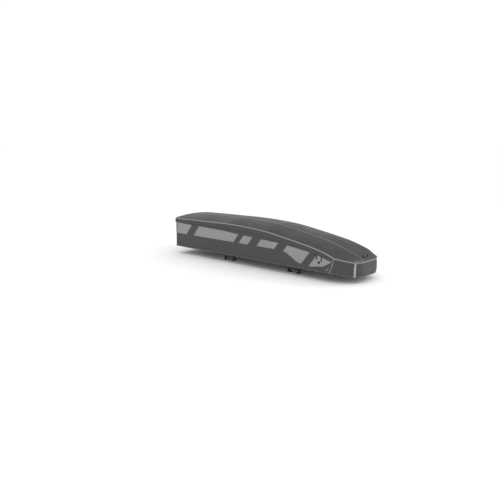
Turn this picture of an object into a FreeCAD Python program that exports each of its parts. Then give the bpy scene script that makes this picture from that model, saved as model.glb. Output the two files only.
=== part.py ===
"""Slim soft-sided roof box with a stiff floor, a zipped lid and four crossbar clamps.

Millimetres. +X is towards the nose, +Y towards the hinge side, +Z up.
The origin is the middle of the floor's underside.
"""

import FreeCAD, Part
import math
import os

from FreeCAD import Vector as V

os.makedirs("parts", exist_ok=True)

# Overall shape
LENGTH = 1900.0             # rear wall to nose, over the cloth
WIDTH = 500.0               # over the storm flap
HALF_L = LENGTH / 2.0
HALF_W = WIDTH / 2.0


def at(x):
    """Place along the box of a point that lies at x on a box 1900 mm long.

    A longer or shorter box changes in its middle only; the tail and the nose keep their shape."""
    drawn_half_l, tail_end, nose_start = 950.0, -700.0, 190.0
    share = min(max((x - tail_end) / (nose_start - tail_end), 0.0), 1.0)
    return x + (HALF_L - drawn_half_l) * (2.0 * share - 1.0)


REAR_CORNER_R = 28.0        # plan radius of the two rear corners
NOSE_TAPER_FLOOR = 195.0    # the sides turn in this far behind the nose, at floor level
NOSE_LEAN = 0.33            # the corner seam leans forward by this much per mm of height
SHOULDER_BACK = 27.0        # the tapered side meets the rounded nose this far behind its tip
SHOULDER_HALF_W = HALF_W - 86.0
NOSE_HALF_W = HALF_W - 152.0            # half width of the blunt front
NOSE_CORNER_R = 140.0       # nose and shoulder arcs meet, so the nose is one round front
SHOULDER_R = 110.0
NOSE_DROP = 20.0            # the nose floor sinks by this much

# Height of the lid's edge, and rise of its crown above that edge, along the box
EDGE_HEIGHTS = [(at(x), edge, crown) for x, edge, crown in (
    (-960, 256, 20), (-560, 266, 24), (-230, 271, 25), (90, 257, 24), (323, 226, 21),
    (569, 186, 15), (682, 160, 11), (795, 124, 8), (870, 104, 4), (960, 90.5, 2.5))]

TOP_STATIONS = 32

# Cloth and board
LID_T = 5.0
PIPING = 5.0                # width of the piped edge
FLAP_T = 1.2                # storm flap
FLAP_DROP = 36.0
NOSE_FLAP_DROP = 26.0
FLAP_END_Y = HALF_W - 166.0 # the flap ends here on the hinge side of the nose
WALL_T = 5.0
WALL_GAP = 0.6              # lid underside to wall top
SKIN_T = 1.5                # floor cloth
BOARD_T = 6.0
NOSE_BEND_X = at(750.0)     # the nose board starts to slope here
BAND_T = 0.8
STRIP_W = 13.0              # light strips on the nose
STRIP_Y = HALF_W - 92.0
CORD_W, CORD_OUT = 7.0, 3.0 # cord in the slanted corner seams
CORD_GAP = 2.0              # cord's end below the flap
SEAM_W, SEAM_T = 7.0, 1.0   # tape over the lid seam
SEAM_PATH = [(-HALF_L + 20.0, 0.0), (at(840.0), 0.0), (at(921.0), -44.0), (at(905.0), 8.0 - STRIP_Y)]
HINGE_TAPE_T, HINGE_TAPE_W = 1.2, 18.0
HINGE_END_X = at(290.0)     # the fabric hinge ends here and the zip goes on
BOW_T = 6.0                 # fibreglass bows under the lid
BOW_X = (at(-700.0), at(-300.0), at(100.0), at(480.0))
TAB_PLACES = ((at(874.0), HALF_W - 223.0), (at(872.0), HALF_W - 161.0))
TAB_L, TAB_W, TAB_T = 26.0, 12.0, 2.0
TAB_FOLD_T, TAB_FOLD_H = 3.0, 11.0      # the tab's fold stands up from the lid
LOOP_X, LOOP_Z = at(728.0), 34.0
LOOP_L, LOOP_W, LOOP_T = 34.0, 8.0, 2.4
LOOP_FOLD, LOOP_LEAN = 8.0, 44.0
FOLD_X = (at(-330.0), at(290.0), at(740.0))     # fold lines between the floor boards
FOLD_GAP = 1.0
CLEAR = 0.3                 # running clearance between moving pieces

# Zip, hidden under the storm flap
ZIP_TAPE_T = 1.0
ZIP_TAPE_W = 11.0
ZIP_DEPTH = 17.0            # parting line of the zip below the lid's edge
SLIDER_L, SLIDER_H, SLIDER_T = 14.0, 9.0, 3.6
SLIDER_REAR_X, SLIDER_FRONT_X = at(628.0), at(672.0)
SLIDER_REAR_RUN, SLIDER_FRONT_RUN = 250.0, 50.0
PULL_L, PULL_W, PULL_T = 50.0, 6.0, 1.6
PULL_GRIP_L, PULL_GRIP_W = 14.0, 8.0
PULL_PIN_R = 1.5

# Lock on the near wall
LOCK_X, LOCK_Z = at(650.0), 74.0
LOCK_R, LOCK_T = 9.5, 5.0
BARREL_R, BARREL_OUT = 6.0, 1.5
LOCK_CAM_L, LOCK_CAM_W, LOCK_CAM_T = 30.0, 12.0, 2.5
KEYWAY_W, KEYWAY_H, KEYWAY_DEEP = 1.8, 5.5, 3.0

# Steel floor rails, hat section
RAIL_Y = HALF_W - 100.0
RAIL_X0, RAIL_X1 = at(-880.0), at(700.0)
RAIL_T = 2.0
RAIL_TOP_W, RAIL_H, RAIL_FLANGE = 34.0, 12.0, 13.0

# Crossbar clamps
CLAMP_X = (at(-350.0), at(350.0))       # fore and aft places of the clamps
FRAME_L, FRAME_W, FRAME_H = 124.0, 52.0, 28.0
FRAME_TOP_T, FRAME_SIDE_T, FRAME_END_T = 4.0, 8.0, 4.0
PAD_T, PAD_L = 3.0, 84.0
BAR_H = 30.0                # the tallest crossbar that the claws take
PIVOT_X, PIVOT_DEPTH = 52.0, 12.0   # claw pin, from the stud and below the floor
PIN_R, BOSS_R = 3.0, 6.5
CLAW_W, CLAW_T, CLAW_TOE = 24.0, 6.0, 24.0
TAIL, TAIL_T = 30.0, 5.0    # claw pin to the end of the claw's tail
STUD_R = 4.0
NUT_HALF_L, NUT_HALF_W, NUT_T = 25.0, 14.0, 5.0
KNOB_R, KNOB_LOBE_R, KNOB_H, KNOB_LOBES = 31.0, 9.0, 20.0, 6
STUD_IN_KNOB = 2.0
WASHER_R, WASHER_T = 13.0, 2.0
PIN_CLEAR = 0.15

# Load straps, their anchors and cam buckles
STRAP_W, STRAP_T = 25.0, 1.6
STRAP_X = (at(-560.0), at(120.0))
ANCHOR_IN = 26.3            # anchor's middle to the wall's inner face
ANCHOR_L, ANCHOR_W, ANCHOR_T = 36.0, 22.0, 2.0
STRAP_DROP_RUN = 26.0       # the strap comes down to its anchor over this width
BUCKLE_Y = -60.0
BUCKLE_L, BUCKLE_W, BUCKLE_H = 44.0, 36.0, 11.0
BUCKLE_FLOOR = 1.6          # buckle's bottom plate, under the strap
LEVER_L, LEVER_T, LEVER_PIN_R, LEVER_BOSS_R = 34.0, 3.0, 2.0, 3.5
LEVER_PIN_BACK, LEVER_PIN_DOWN = 8.0, 3.5

WALL_IN = FLAP_T + SLIDER_T + ZIP_TAPE_T + 3 * CLEAR  # flap face to wall face
BOARD_IN = WALL_IN + WALL_T
WALL_Y = HALF_W - WALL_IN                             # outer face of the side walls
FLOOR_TOP = SKIN_T + BOARD_T
RAIL_TOP = FLOOR_TOP + RAIL_H
ANCHOR_Y = HALF_W - BOARD_IN - ANCHOR_IN
STRAP_TURN_Y = ANCHOR_Y - STRAP_DROP_RUN
UNDER = -60.0
OVER = 340.0


def save(name, shape):
    """Write one node and say how many solids it holds."""
    if isinstance(shape, list):
        shape = Part.makeCompound(shape)
    solids = shape.Solids
    shape = solids[0] if len(solids) == 1 else Part.makeCompound(solids)
    shape.exportStep("parts/" + name + ".step")
    print(name, len(solids), round(shape.Volume / 1000.0, 1), "cm3", shape.isValid())
    return shape


def block(x0, x1, y0, y1, z0, z1):
    return Part.makeBox(x1 - x0, y1 - y0, z1 - z0, V(x0, y0, z0))


def prism_xz(points, y0, y1):
    """A side-view polygon, given as (x, z), made y0 to y1 wide."""
    ring = [V(x, y0, z) for x, z in points]
    face = Part.Face(Part.makePolygon(ring + ring[:1]))
    return face.extrude(V(0, y1 - y0, 0))


def rod(start, direction, radius, length):
    return Part.makeCylinder(radius, length, start, direction)


def rounded_ring(corners, z):
    """A closed flat wire through corners (x, y, radius), each one rounded by a tangent arc."""
    edges = []
    count = len(corners)
    stations = []
    for i in range(count):
        before = V(corners[i - 1][0], corners[i - 1][1], z)
        here = V(corners[i][0], corners[i][1], z)
        after = V(corners[(i + 1) % count][0], corners[(i + 1) % count][1], z)
        back = (before - here).normalize()
        ahead = (after - here).normalize()
        half = 0.5 * back.getAngle(ahead)
        radius = corners[i][2]
        reach = radius / math.tan(half)
        middle = here + (back + ahead).normalize() * (radius / math.sin(half) - radius)
        stations.append((here + back * reach, middle, here + ahead * reach))
    for i in range(count):
        first, middle, last = stations[i]
        edges.append(Part.Arc(first, middle, last).toShape())
        edges.append(Part.LineSegment(last, stations[(i + 1) % count][0]).toShape())
    return Part.Wire(edges)


def plan_corners(inset, z):
    """Plan outline at height z, moved inwards by inset."""
    taper_x = HALF_L - NOSE_TAPER_FLOOR + NOSE_LEAN * z
    half = [(taper_x, HALF_W), (HALF_L - SHOULDER_BACK, SHOULDER_HALF_W), (HALF_L, NOSE_HALF_W)]
    outline = [(-HALF_L, -HALF_W)] + [(x, -y) for x, y in half]
    outline += [(x, y) for x, y in reversed(half)] + [(-HALF_L, HALF_W)]
    radii = [REAR_CORNER_R, 20.0, SHOULDER_R, NOSE_CORNER_R]
    radii = radii + list(reversed(radii))
    moved = []
    count = len(outline)
    for i in range(count):
        moved.append(shifted_corner(outline[i - 1], outline[i], outline[(i + 1) % count], inset))
    return [(x, y, max(r - inset, 3.0)) for (x, y), r in zip(moved, radii)]


def shifted_corner(before, here, after, inset):
    """Where the two sides of a corner meet once both are moved inwards by inset."""
    def side(p, q):
        length = math.hypot(q[0] - p[0], q[1] - p[1])
        nx, ny = -(q[1] - p[1]) / length, (q[0] - p[0]) / length
        return nx, ny, nx * p[0] + ny * p[1] + inset
    a1, b1, c1 = side(before, here)
    a2, b2, c2 = side(here, after)
    det = a1 * b2 - a2 * b1
    return (c1 * b2 - c2 * b1) / det, (a1 * c2 - a2 * c1) / det


def column(inset):
    """Everything inside the plan outline, from below the floor to above the lid."""
    low = rounded_ring(plan_corners(inset, UNDER), UNDER)
    high = rounded_ring(plan_corners(inset, OVER), OVER)
    return Part.makeLoft([low, high], True, True)


def along(x, item):
    """Edge height (item 1) or crown (item 2) at x, on a smooth curve through the listed stations."""
    rows = EDGE_HEIGHTS
    i = max(k for k in range(len(rows) - 1) if rows[k][0] <= x or k == 0)
    def rate(k):
        low, high = max(k - 1, 0), min(k + 1, len(rows) - 1)
        return (rows[high][item] - rows[low][item]) / (rows[high][0] - rows[low][0])
    span = rows[i + 1][0] - rows[i][0]
    t = (x - rows[i][0]) / span
    return ((2 * t ** 3 - 3 * t ** 2 + 1) * rows[i][item] + (t ** 3 - 2 * t ** 2 + t) * span * rate(i)
            + (3 * t ** 2 - 2 * t ** 3) * rows[i + 1][item] + (t ** 3 - t ** 2) * span * rate(i + 1))


def lid_skin():
    """The crowned top surface of the lid, a little larger than the box."""
    x_first, x_last = EDGE_HEIGHTS[0][0], EDGE_HEIGHTS[-1][0]
    reach = HALF_W + 10.0
    grid = []
    for i in range(TOP_STATIONS + 1):
        x = x_first + (x_last - x_first) * i / TOP_STATIONS
        row = []
        for j in range(-3, 4):
            y = reach * j / 3.0
            row.append(V(x, y, along(x, 1) + along(x, 2) * (1.0 - (y / HALF_W) ** 2)))
        grid.append(row)
    surface = Part.BSplineSurface()
    surface.interpolate(grid)
    return surface.toShape()


def layer(top_drop, bottom_drop):
    """Everything between the top surface lowered by top_drop and lowered by bottom_drop."""
    return TOP_SKIN.translated(V(0, 0, -bottom_drop)).extrude(V(0, 0, bottom_drop - top_drop))


def below_lid(drop):
    """Everything below the top surface lowered by drop."""
    return layer(drop, drop + OVER)


def floor_slab(low, high, x0=-HALF_L - 20.0, x1=HALF_L + 20.0):
    """A layer of the floor between two heights; it slopes down beyond the nose bend."""
    slope = NOSE_DROP / (HALF_L - NOSE_BEND_X)
    def line(z):
        stations = [x0] + ([NOSE_BEND_X] if x0 < NOSE_BEND_X < x1 else []) + [x1]
        return [(x, z - slope * max(0.0, x - NOSE_BEND_X)) for x in stations]
    return prism_xz(line(low) + list(reversed(line(high))), -HALF_W - 20.0, HALF_W + 20.0)


def shell(outer_inset, inner_inset):
    return column(outer_inset).cut(column(inner_inset))


# Regions that the pieces are cut from
TOP_SKIN = lid_skin()
above_floor = floor_slab(SKIN_T, OVER)
wall_ring = shell(WALL_IN, WALL_IN + WALL_T).common(below_lid(LID_T + WALL_GAP)).common(above_floor)
rear_side = block(-HALF_L - 20, -HALF_L + WALL_IN + REAR_CORNER_R, -HALF_W - 20, HALF_W + 20, UNDER, OVER)
NOSE_CUT = HALF_L - NOSE_TAPER_FLOOR - 10.0
seam_plane = prism_xz([(NOSE_CUT + NOSE_LEAN * UNDER, UNDER), (HALF_L + 40, UNDER), (HALF_L + 40, OVER),
                       (NOSE_CUT + NOSE_LEAN * OVER, OVER)], -HALF_W - 20, HALF_W + 20)
near_half = block(-HALF_L - 20, HALF_L + 20, -HALF_W - 20, 0, UNDER, OVER)
far_half = block(-HALF_L - 20, HALF_L + 20, 0, HALF_W + 20, UNDER, OVER)

# Walls: foam board in coated cloth
sides = wall_ring.cut(rear_side).cut(seam_plane)
near_wall = save("near_wall", sides.common(near_half))
far_wall = save("far_wall", sides.common(far_half))
rear_wall = save("rear_wall", wall_ring.common(rear_side))
nose_wall = save("nose_wall", wall_ring.common(seam_plane))

# Floor: cloth, three boards with fold lines between them, and the bent nose board
clamp_places = [(x, side * RAIL_Y) for x in CLAMP_X for side in (-1, 1)]
stud_holes = Part.makeCompound([rod(V(x, y, -FRAME_H), V(0, 0, 1), STUD_R + 1.0, FRAME_H + RAIL_TOP + 5.0)
                                for x, y in clamp_places])
save("floor_cloth", column(WALL_IN).common(floor_slab(0.0, SKIN_T)).cut(stud_holes))
board_ends = (-HALF_L,) + FOLD_X + (HALF_L + 10.0,)
board_names = ("floor_board_rear", "floor_board_middle", "floor_board_front", "nose_board")
boards = column(BOARD_IN).common(floor_slab(SKIN_T, FLOOR_TOP)).cut(stud_holes)
for name, x0, x1 in zip(board_names, board_ends, board_ends[1:]):
    save(name, boards.common(block(x0 + FOLD_GAP / 2, x1 - FOLD_GAP / 2, -HALF_W, HALF_W, UNDER, OVER)))


def hat_rail(y):
    """Pressed steel rail of hat section on the floor boards."""
    w, f, h, t = RAIL_TOP_W / 2, RAIL_FLANGE, RAIL_H, RAIL_T
    outline = [(-w - f, 0), (-w + t, 0), (-w + t, h - t), (w - t, h - t), (w - t, 0), (w + f, 0),
               (w + f, t), (w, t), (w, h), (-w, h), (-w, t), (-w - f, t)]
    ring = [V(RAIL_X0, y + q, FLOOR_TOP + z) for q, z in outline]
    rail = Part.Face(Part.makePolygon(ring + ring[:1])).extrude(V(RAIL_X1 - RAIL_X0, 0, 0))
    return rail.cut(stud_holes)


save("rail_near", hat_rail(-RAIL_Y))
save("rail_far", hat_rail(RAIL_Y))

# Light band sewn on each side: a tapered strip broken by slanted gaps
BAND = [(at(x), z) for x, z in (
    (-918, 221), (-796, 215), (-358, 207), (-173, 195), (316, 172), (587, 140), (756, 94),
    (689, 51), (579, 31), (452, 45), (330, 112), (194, 121), (-918, 121))]
BAND_GAPS = [(at(x), width) for x, width in (
    (-752, 92), (-196, 60), (-18, 96), (262, 96), (584, 76))]      # middle at mid height, width
BAND_MID_Z, BAND_SLANT = 120.0, 0.78


def side_band(side):
    """The band's panels on one side wall; side is -1 near, +1 far."""
    y0 = side * WALL_Y if side > 0 else -WALL_Y - BAND_T
    band = prism_xz(BAND, y0, y0 + BAND_T)
    for x, width in BAND_GAPS:
        low = x + BAND_SLANT * (0.0 - BAND_MID_Z)
        high = x + BAND_SLANT * (OVER - BAND_MID_Z)
        band = band.cut(prism_xz([(low - width / 2, 0), (low + width / 2, 0), (high + width / 2, OVER),
                                  (high - width / 2, OVER)], y0 - 1, y0 + BAND_T + 1))
    return band


lock_seat = rod(V(LOCK_X, -HALF_W, LOCK_Z), V(0, 1, 0), LOCK_R + CLEAR, WALL_IN)
save("near_band", side_band(-1).cut(lock_seat))
save("far_band", side_band(1))

# Nose trim: two light strips, and a cord along each slanted corner seam
strip_shell = shell(WALL_IN - BAND_T, WALL_IN).common(above_floor)
strip_shell = strip_shell.common(below_lid(LID_T + ZIP_DEPTH + ZIP_TAPE_W + CLEAR))
save("nose_strips", [strip_shell.common(block(HALF_L / 2, HALF_L, side * STRIP_Y - STRIP_W / 2,
                                              side * STRIP_Y + STRIP_W / 2, UNDER, OVER))
                     for side in (-1, 1)])
seam_strip = prism_xz([(NOSE_CUT + NOSE_LEAN * UNDER - CORD_W / 2, UNDER),
                       (NOSE_CUT + NOSE_LEAN * UNDER + CORD_W / 2, UNDER),
                       (NOSE_CUT + NOSE_LEAN * OVER + CORD_W / 2, OVER),
                       (NOSE_CUT + NOSE_LEAN * OVER - CORD_W / 2, OVER)], -HALF_W - 20, HALF_W + 20)
cord_shell = shell(WALL_IN - CORD_OUT, WALL_IN).common(seam_strip).common(above_floor)
save("corner_cords", cord_shell.common(below_lid(FLAP_DROP + CORD_GAP)))


def webbing_loop(side):
    """Flat sewn loop low on the side wall, by the corner seam."""
    y0 = -WALL_Y - LOOP_T if side < 0 else WALL_Y
    tab = block(-LOOP_W / 2, LOOP_W / 2, y0, y0 + LOOP_T, -LOOP_L / 2, LOOP_L / 2)
    fold = tab.common(block(-LOOP_W, LOOP_W, y0, y0 + LOOP_T, LOOP_L / 2 - LOOP_FOLD, LOOP_L))
    tab = tab.fuse(fold.translated(V(0, side * LOOP_T, 0))).removeSplitter()
    tab.rotate(V(0, 0, 0), V(0, 1, 0), LOOP_LEAN)
    return tab.translated(V(LOOP_X, 0, LOOP_Z))


save("pull_loops", [webbing_loop(-1), webbing_loop(1)])

# Lid: two crowned panels, tape over the seam between them, piping round the edge
lid_inner = column(PIPING)
lid_layer = layer(0.0, LID_T)
panels = lid_layer.common(lid_inner)
save("lid_panel_near", panels.common(near_half))
save("lid_panel_far", panels.common(far_half))
save("lid_piping", lid_layer.common(shell(0.0, PIPING)))


def upright_strip(line, width):
    """An upright wall of one width along plan points (x, y), rounded where it turns."""
    pieces = []
    for (x0, y0), (x1, y1) in zip(line, line[1:]):
        length = math.hypot(x1 - x0, y1 - y0)
        run = block(0, length, -width / 2, width / 2, UNDER, OVER)
        run.rotate(V(0, 0, 0), V(0, 0, 1), math.degrees(math.atan2(y1 - y0, x1 - x0)))
        pieces.append(run.translated(V(x0, y0, 0)))
    joints = [rod(V(x, y, UNDER), V(0, 0, 1), width / 2, OVER - UNDER) for x, y in line[1:-1]]
    return pieces[0].fuse(pieces[1:] + joints).removeSplitter()


save("centre_seam", layer(-SEAM_T, 0.0).common(upright_strip(SEAM_PATH, SEAM_W)))


def lid_tab(x, y):
    """Small folded webbing tab sewn on the front of the lid: a flat foot and a fold that stands up."""
    foot = block(x - TAB_W / 2, x + TAB_W / 2, y - TAB_L / 2, y + TAB_L / 2, UNDER, OVER)
    fold = block(x - TAB_W / 2, x + TAB_W / 2, y - TAB_FOLD_T / 2, y + TAB_FOLD_T / 2, UNDER, OVER)
    return layer(-TAB_T, 0.0).common(foot).fuse(layer(-TAB_FOLD_H, 0.0).common(fold))


save("lid_tabs", [lid_tab(x, y) for x, y in TAB_PLACES])

# Storm flap over the zip: deep along the near side and the rear, shallow round the nose
flap_shell = shell(0.0, FLAP_T)
not_far_side = block(-HALF_L - 20, HALF_L + 20, -HALF_W - 20, HALF_W - REAR_CORNER_R - 4, UNDER, OVER)
near_and_rear = not_far_side.cut(block(-HALF_L + REAR_CORNER_R, HALF_L + 20, 0, HALF_W + 20, UNDER, OVER))
flap_side = flap_shell.common(layer(LID_T, FLAP_DROP)).common(near_and_rear).cut(seam_plane)
flap_nose = flap_shell.common(layer(LID_T, NOSE_FLAP_DROP)).common(seam_plane)
flap_nose = flap_nose.common(block(0, HALF_L + 20, -HALF_W - 20, FLAP_END_Y, UNDER, OVER))
save("storm_flap", flap_side.fuse(flap_nose))

# Zip: the lower row is sewn to the walls, the upper row hangs from the lid behind the flap
zip_end = block(-HALF_L - 20, HINGE_END_X, HALF_W - REAR_CORNER_R - 4, HALF_W + 20, UNDER, OVER)
PARTING = LID_T + ZIP_DEPTH
lower_shell = shell(WALL_IN - ZIP_TAPE_T, WALL_IN)
save("lower_zip", lower_shell.common(layer(PARTING, PARTING + ZIP_TAPE_W)).cut(zip_end))
upper_shell = shell(WALL_IN - ZIP_TAPE_T - CLEAR, WALL_IN - CLEAR).common(layer(LID_T, PARTING - CLEAR))
upper_side = upper_shell.common(near_and_rear).cut(seam_plane)
upper_nose = upper_shell.common(seam_plane).common(block(0, HALF_L + 20, -HALF_W, FLAP_END_Y, UNDER, OVER))
save("upper_zip", upper_side.fuse(upper_nose))

# Fabric hinge along the far top edge
hinge_run = block(-HALF_L + REAR_CORNER_R, HINGE_END_X, 0, HALF_W + 20, UNDER, OVER)
hinge_shell = shell(WALL_IN - HINGE_TAPE_T, WALL_IN)
save("hinge_tape", hinge_shell.common(layer(LID_T + WALL_GAP, HINGE_TAPE_W)).common(hinge_run))

# Fibreglass bows in sleeves under the lid
bow_layer = layer(LID_T, LID_T + BOW_T).common(column(BOARD_IN + 6.0))
save("lid_bows", [bow_layer.common(block(x - BOW_T / 2, x + BOW_T / 2, -HALF_W, HALF_W, UNDER, OVER))
                  for x in BOW_X])


def zip_run(x0, x1):
    """Start point and unit direction of a slider that runs the zip from x0 to x1."""
    start = V(x0, 0, along(x0, 1) - PARTING - CLEAR - SLIDER_H / 2)
    end = V(x1, 0, along(x1, 1) - PARTING - CLEAR - SLIDER_H / 2)
    return start, (end - start).normalize()


def slider_and_pull(name, x0, x1):
    """Zip slider under the flap, and the pull tab that hangs from a pin on it."""
    start, way = zip_run(x0, x1)
    tilt = math.degrees(math.atan2(way.z, way.x))
    tilt = tilt if way.x > 0 else tilt - 180.0
    outer = -HALF_W + FLAP_T + CLEAR
    body = block(-SLIDER_L / 2, SLIDER_L / 2, outer + PULL_T + CLEAR, outer + SLIDER_T,
                 -SLIDER_H / 2, SLIDER_H / 2)
    body = body.makeFillet(0.6, [e for e in body.Edges if abs(e.tangentAt(e.FirstParameter).y) > 0.9])
    body.rotate(V(0, 0, 0), V(0, 1, 0), -tilt)
    pin = rod(V(0, outer, 0), V(0, 1, 0), PULL_PIN_R, PULL_T + CLEAR + 1.0)
    save("slider_" + name, body.fuse(pin).translated(start))
    tab = block(-PULL_W / 2, PULL_W / 2, outer, outer + PULL_T, -PULL_L, 0)
    tab = tab.fuse(rod(V(0, outer, 0), V(0, 1, 0), PULL_W / 2, PULL_T)).removeSplitter()
    tab = tab.cut(rod(V(0, outer - 1, 0), V(0, 1, 0), PULL_PIN_R + PIN_CLEAR, PULL_T + 2))
    grip = block(-PULL_GRIP_W / 2, PULL_GRIP_W / 2, outer, outer + PULL_T, -PULL_L, -PULL_L + PULL_GRIP_L)
    save("pull_" + name, tab.fuse(grip).removeSplitter().translated(start))
    print("slider", name, "starts", start, "goes", way, "pin y", outer)


slider_and_pull("rear", SLIDER_REAR_X, SLIDER_REAR_X - SLIDER_REAR_RUN)
slider_and_pull("front", SLIDER_FRONT_X, SLIDER_FRONT_X + SLIDER_FRONT_RUN)

# Key lock on the near wall: round housing, barrel with a keyway, cam inside the wall
through = rod(V(LOCK_X, -WALL_Y - LOCK_T - 1, LOCK_Z), V(0, 1, 0), BARREL_R + CLEAR, WALL_T + LOCK_T + 2)
housing = rod(V(LOCK_X, -WALL_Y - LOCK_T, LOCK_Z), V(0, 1, 0), LOCK_R, LOCK_T)
save("lock_housing", housing.cut(through))
barrel_face = -WALL_Y - LOCK_T - BARREL_OUT
barrel = rod(V(LOCK_X, barrel_face, LOCK_Z), V(0, 1, 0), BARREL_R, BARREL_OUT + LOCK_T + WALL_T + CLEAR)
keyway = block(LOCK_X - KEYWAY_W / 2, LOCK_X + KEYWAY_W / 2, barrel_face - 1, barrel_face + KEYWAY_DEEP,
               LOCK_Z - KEYWAY_H / 2, LOCK_Z + KEYWAY_H / 2)
cam_y = -WALL_Y + WALL_T + CLEAR
cam = block(LOCK_X - LOCK_CAM_W / 2, LOCK_X + LOCK_CAM_W / 2, cam_y, cam_y + LOCK_CAM_T,
            LOCK_Z - BARREL_R, LOCK_Z - BARREL_R + LOCK_CAM_L)
save("lock_barrel", barrel.cut(keyway).fuse(cam))
lock_hole = rod(V(LOCK_X, -HALF_W - 10, LOCK_Z), V(0, 1, 0), BARREL_R + CLEAR, 60.0)
near_wall = save("near_wall", near_wall.cut(lock_hole))


def strap(x):
    """Load strap over the rails, down to an anchor at each side."""
    z = RAIL_TOP
    y1, y2 = STRAP_TURN_Y, ANCHOR_Y
    low = FLOOR_TOP + ANCHOR_T
    line = [(-y2, low), (-y1, z), (y1, z), (y2, low)]
    ring = [V(x - STRAP_W / 2, y, q) for y, q in line]
    ring += [V(x - STRAP_W / 2, y, q + STRAP_T) for y, q in reversed(line)]
    return Part.Face(Part.makePolygon(ring + ring[:1])).extrude(V(STRAP_W, 0, 0))


def cam_buckle(x):
    """Cam buckle on the strap: an open body and its thumb lever."""
    z0 = RAIL_TOP - BUCKLE_FLOOR
    y0, y1 = BUCKLE_Y - BUCKLE_L / 2, BUCKLE_Y + BUCKLE_L / 2
    body = block(x - BUCKLE_W / 2, x + BUCKLE_W / 2, y0, y1, z0, z0 + BUCKLE_H)
    half = STRAP_W / 2 + CLEAR
    tunnel = block(x - half, x + half, y0 - 1, y1 + 1, RAIL_TOP, z0 + BUCKLE_H + 1)
    pin_y, pin_z = y1 - LEVER_PIN_BACK, z0 + BUCKLE_H - LEVER_PIN_DOWN
    pin = rod(V(x - BUCKLE_W / 2, pin_y, pin_z), V(1, 0, 0), LEVER_PIN_R, BUCKLE_W)
    body = body.cut(tunnel).fuse(pin)
    reach = half - CLEAR
    lever = block(x - reach, x + reach, pin_y - LEVER_L, pin_y, pin_z - LEVER_T / 2, pin_z + LEVER_T / 2)
    lever = lever.fuse(rod(V(x - reach, pin_y, pin_z), V(1, 0, 0), LEVER_BOSS_R, 2 * reach))
    lever = lever.cut(rod(V(x - half, pin_y, pin_z), V(1, 0, 0), LEVER_PIN_R + PIN_CLEAR, 2 * half))
    return body, lever


def strap_anchor(x, side):
    y = side * ANCHOR_Y
    return block(x - ANCHOR_L / 2, x + ANCHOR_L / 2, y - ANCHOR_W / 2, y + ANCHOR_W / 2,
                 FLOOR_TOP, FLOOR_TOP + ANCHOR_T)


for name, x in zip(("rear", "front"), STRAP_X):
    buckle, lever = cam_buckle(x)
    save("load_strap_" + name, strap(x))
    save("buckle_" + name, buckle)
    save("buckle_lever_" + name, lever)
save("strap_anchors", [strap_anchor(x, side) for x in STRAP_X for side in (-1, 1)])


def clamp_frame():
    """Steel frame under the floor, open below, with a slot in each end for a claw."""
    frame = block(-FRAME_L / 2, FRAME_L / 2, -FRAME_W / 2, FRAME_W / 2, -FRAME_H, 0)
    hollow = block(-FRAME_L / 2 + FRAME_END_T, FRAME_L / 2 - FRAME_END_T, -FRAME_W / 2 + FRAME_SIDE_T,
                   FRAME_W / 2 - FRAME_SIDE_T, -FRAME_H - 1, -FRAME_TOP_T)
    slot = block(-FRAME_L, FRAME_L, -CLAW_W / 2 - 1, CLAW_W / 2 + 1, -FRAME_H - 1, -FRAME_TOP_T)
    frame = frame.cut(hollow).cut(slot).cut(rod(V(0, 0, -FRAME_H), V(0, 0, 1), STUD_R + 1.0, FRAME_H + 1))
    for end in (-1, 1):
        frame = frame.cut(pivot_pin(end, PIN_R))
    return frame


def pivot_pin(end, radius):
    return rod(V(end * PIVOT_X, -FRAME_W / 2, -PIVOT_DEPTH), V(0, 1, 0), radius, FRAME_W)


def claw(end):
    """Claw on its pin: a tail towards the stud, an arm down past the bar and a toe under it."""
    y0, y1 = -CLAW_W / 2, CLAW_W / 2
    toe_z = -FRAME_H - PAD_T - BAR_H - CLAW_T
    arm_in, arm_out = PIVOT_X - CLAW_T / 2, PIVOT_X + CLAW_T / 2
    tail = block(PIVOT_X - TAIL, PIVOT_X, y0, y1, -PIVOT_DEPTH - TAIL_T / 2, -PIVOT_DEPTH + TAIL_T / 2)
    arm = block(arm_in, arm_out, y0, y1, toe_z, -PIVOT_DEPTH)
    toe = block(arm_out - CLAW_T - CLAW_TOE, arm_out, y0, y1, toe_z, toe_z + CLAW_T)
    shape = tail.fuse([arm, toe, rod(V(PIVOT_X, y0, -PIVOT_DEPTH), V(0, 1, 0), BOSS_R, CLAW_W)])
    shape = shape.removeSplitter().cut(pivot_pin(1, PIN_R + PIN_CLEAR))
    outer = [e for e in shape.Edges if abs(e.CenterOfMass.z - toe_z) < 0.1
             and abs(e.CenterOfMass.x - arm_out) < 0.1]
    shape = shape.makeFillet(CLAW_T * 0.6, outer)
    return shape if end > 0 else shape.mirror(V(0, 0, 0), V(1, 0, 0))


def draw_nut():
    top = -PIVOT_DEPTH - TAIL_T / 2 - CLEAR
    nut = block(-NUT_HALF_L, NUT_HALF_L, -NUT_HALF_W, NUT_HALF_W, top - NUT_T, top)
    return nut.cut(rod(V(0, 0, top - NUT_T - 1), V(0, 0, 1), STUD_R + PIN_CLEAR, NUT_T + 2))


def knob():
    """Lobed knob moulded on its stud."""
    low = RAIL_TOP + WASHER_T + CLEAR
    reach = KNOB_R - KNOB_LOBE_R
    core = rod(V(0, 0, low), V(0, 0, 1), reach, KNOB_H)
    for i in range(KNOB_LOBES):
        turn = 2 * math.pi * i / KNOB_LOBES
        lobe = rod(V(reach * math.cos(turn), reach * math.sin(turn), low), V(0, 0, 1), KNOB_LOBE_R, KNOB_H)
        core = core.fuse(lobe)
    stud_end = -FRAME_H - PAD_T + CLEAR
    stud = rod(V(0, 0, stud_end), V(0, 0, 1), STUD_R, low - stud_end + STUD_IN_KNOB)
    return core.removeSplitter().fuse(stud)


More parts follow.
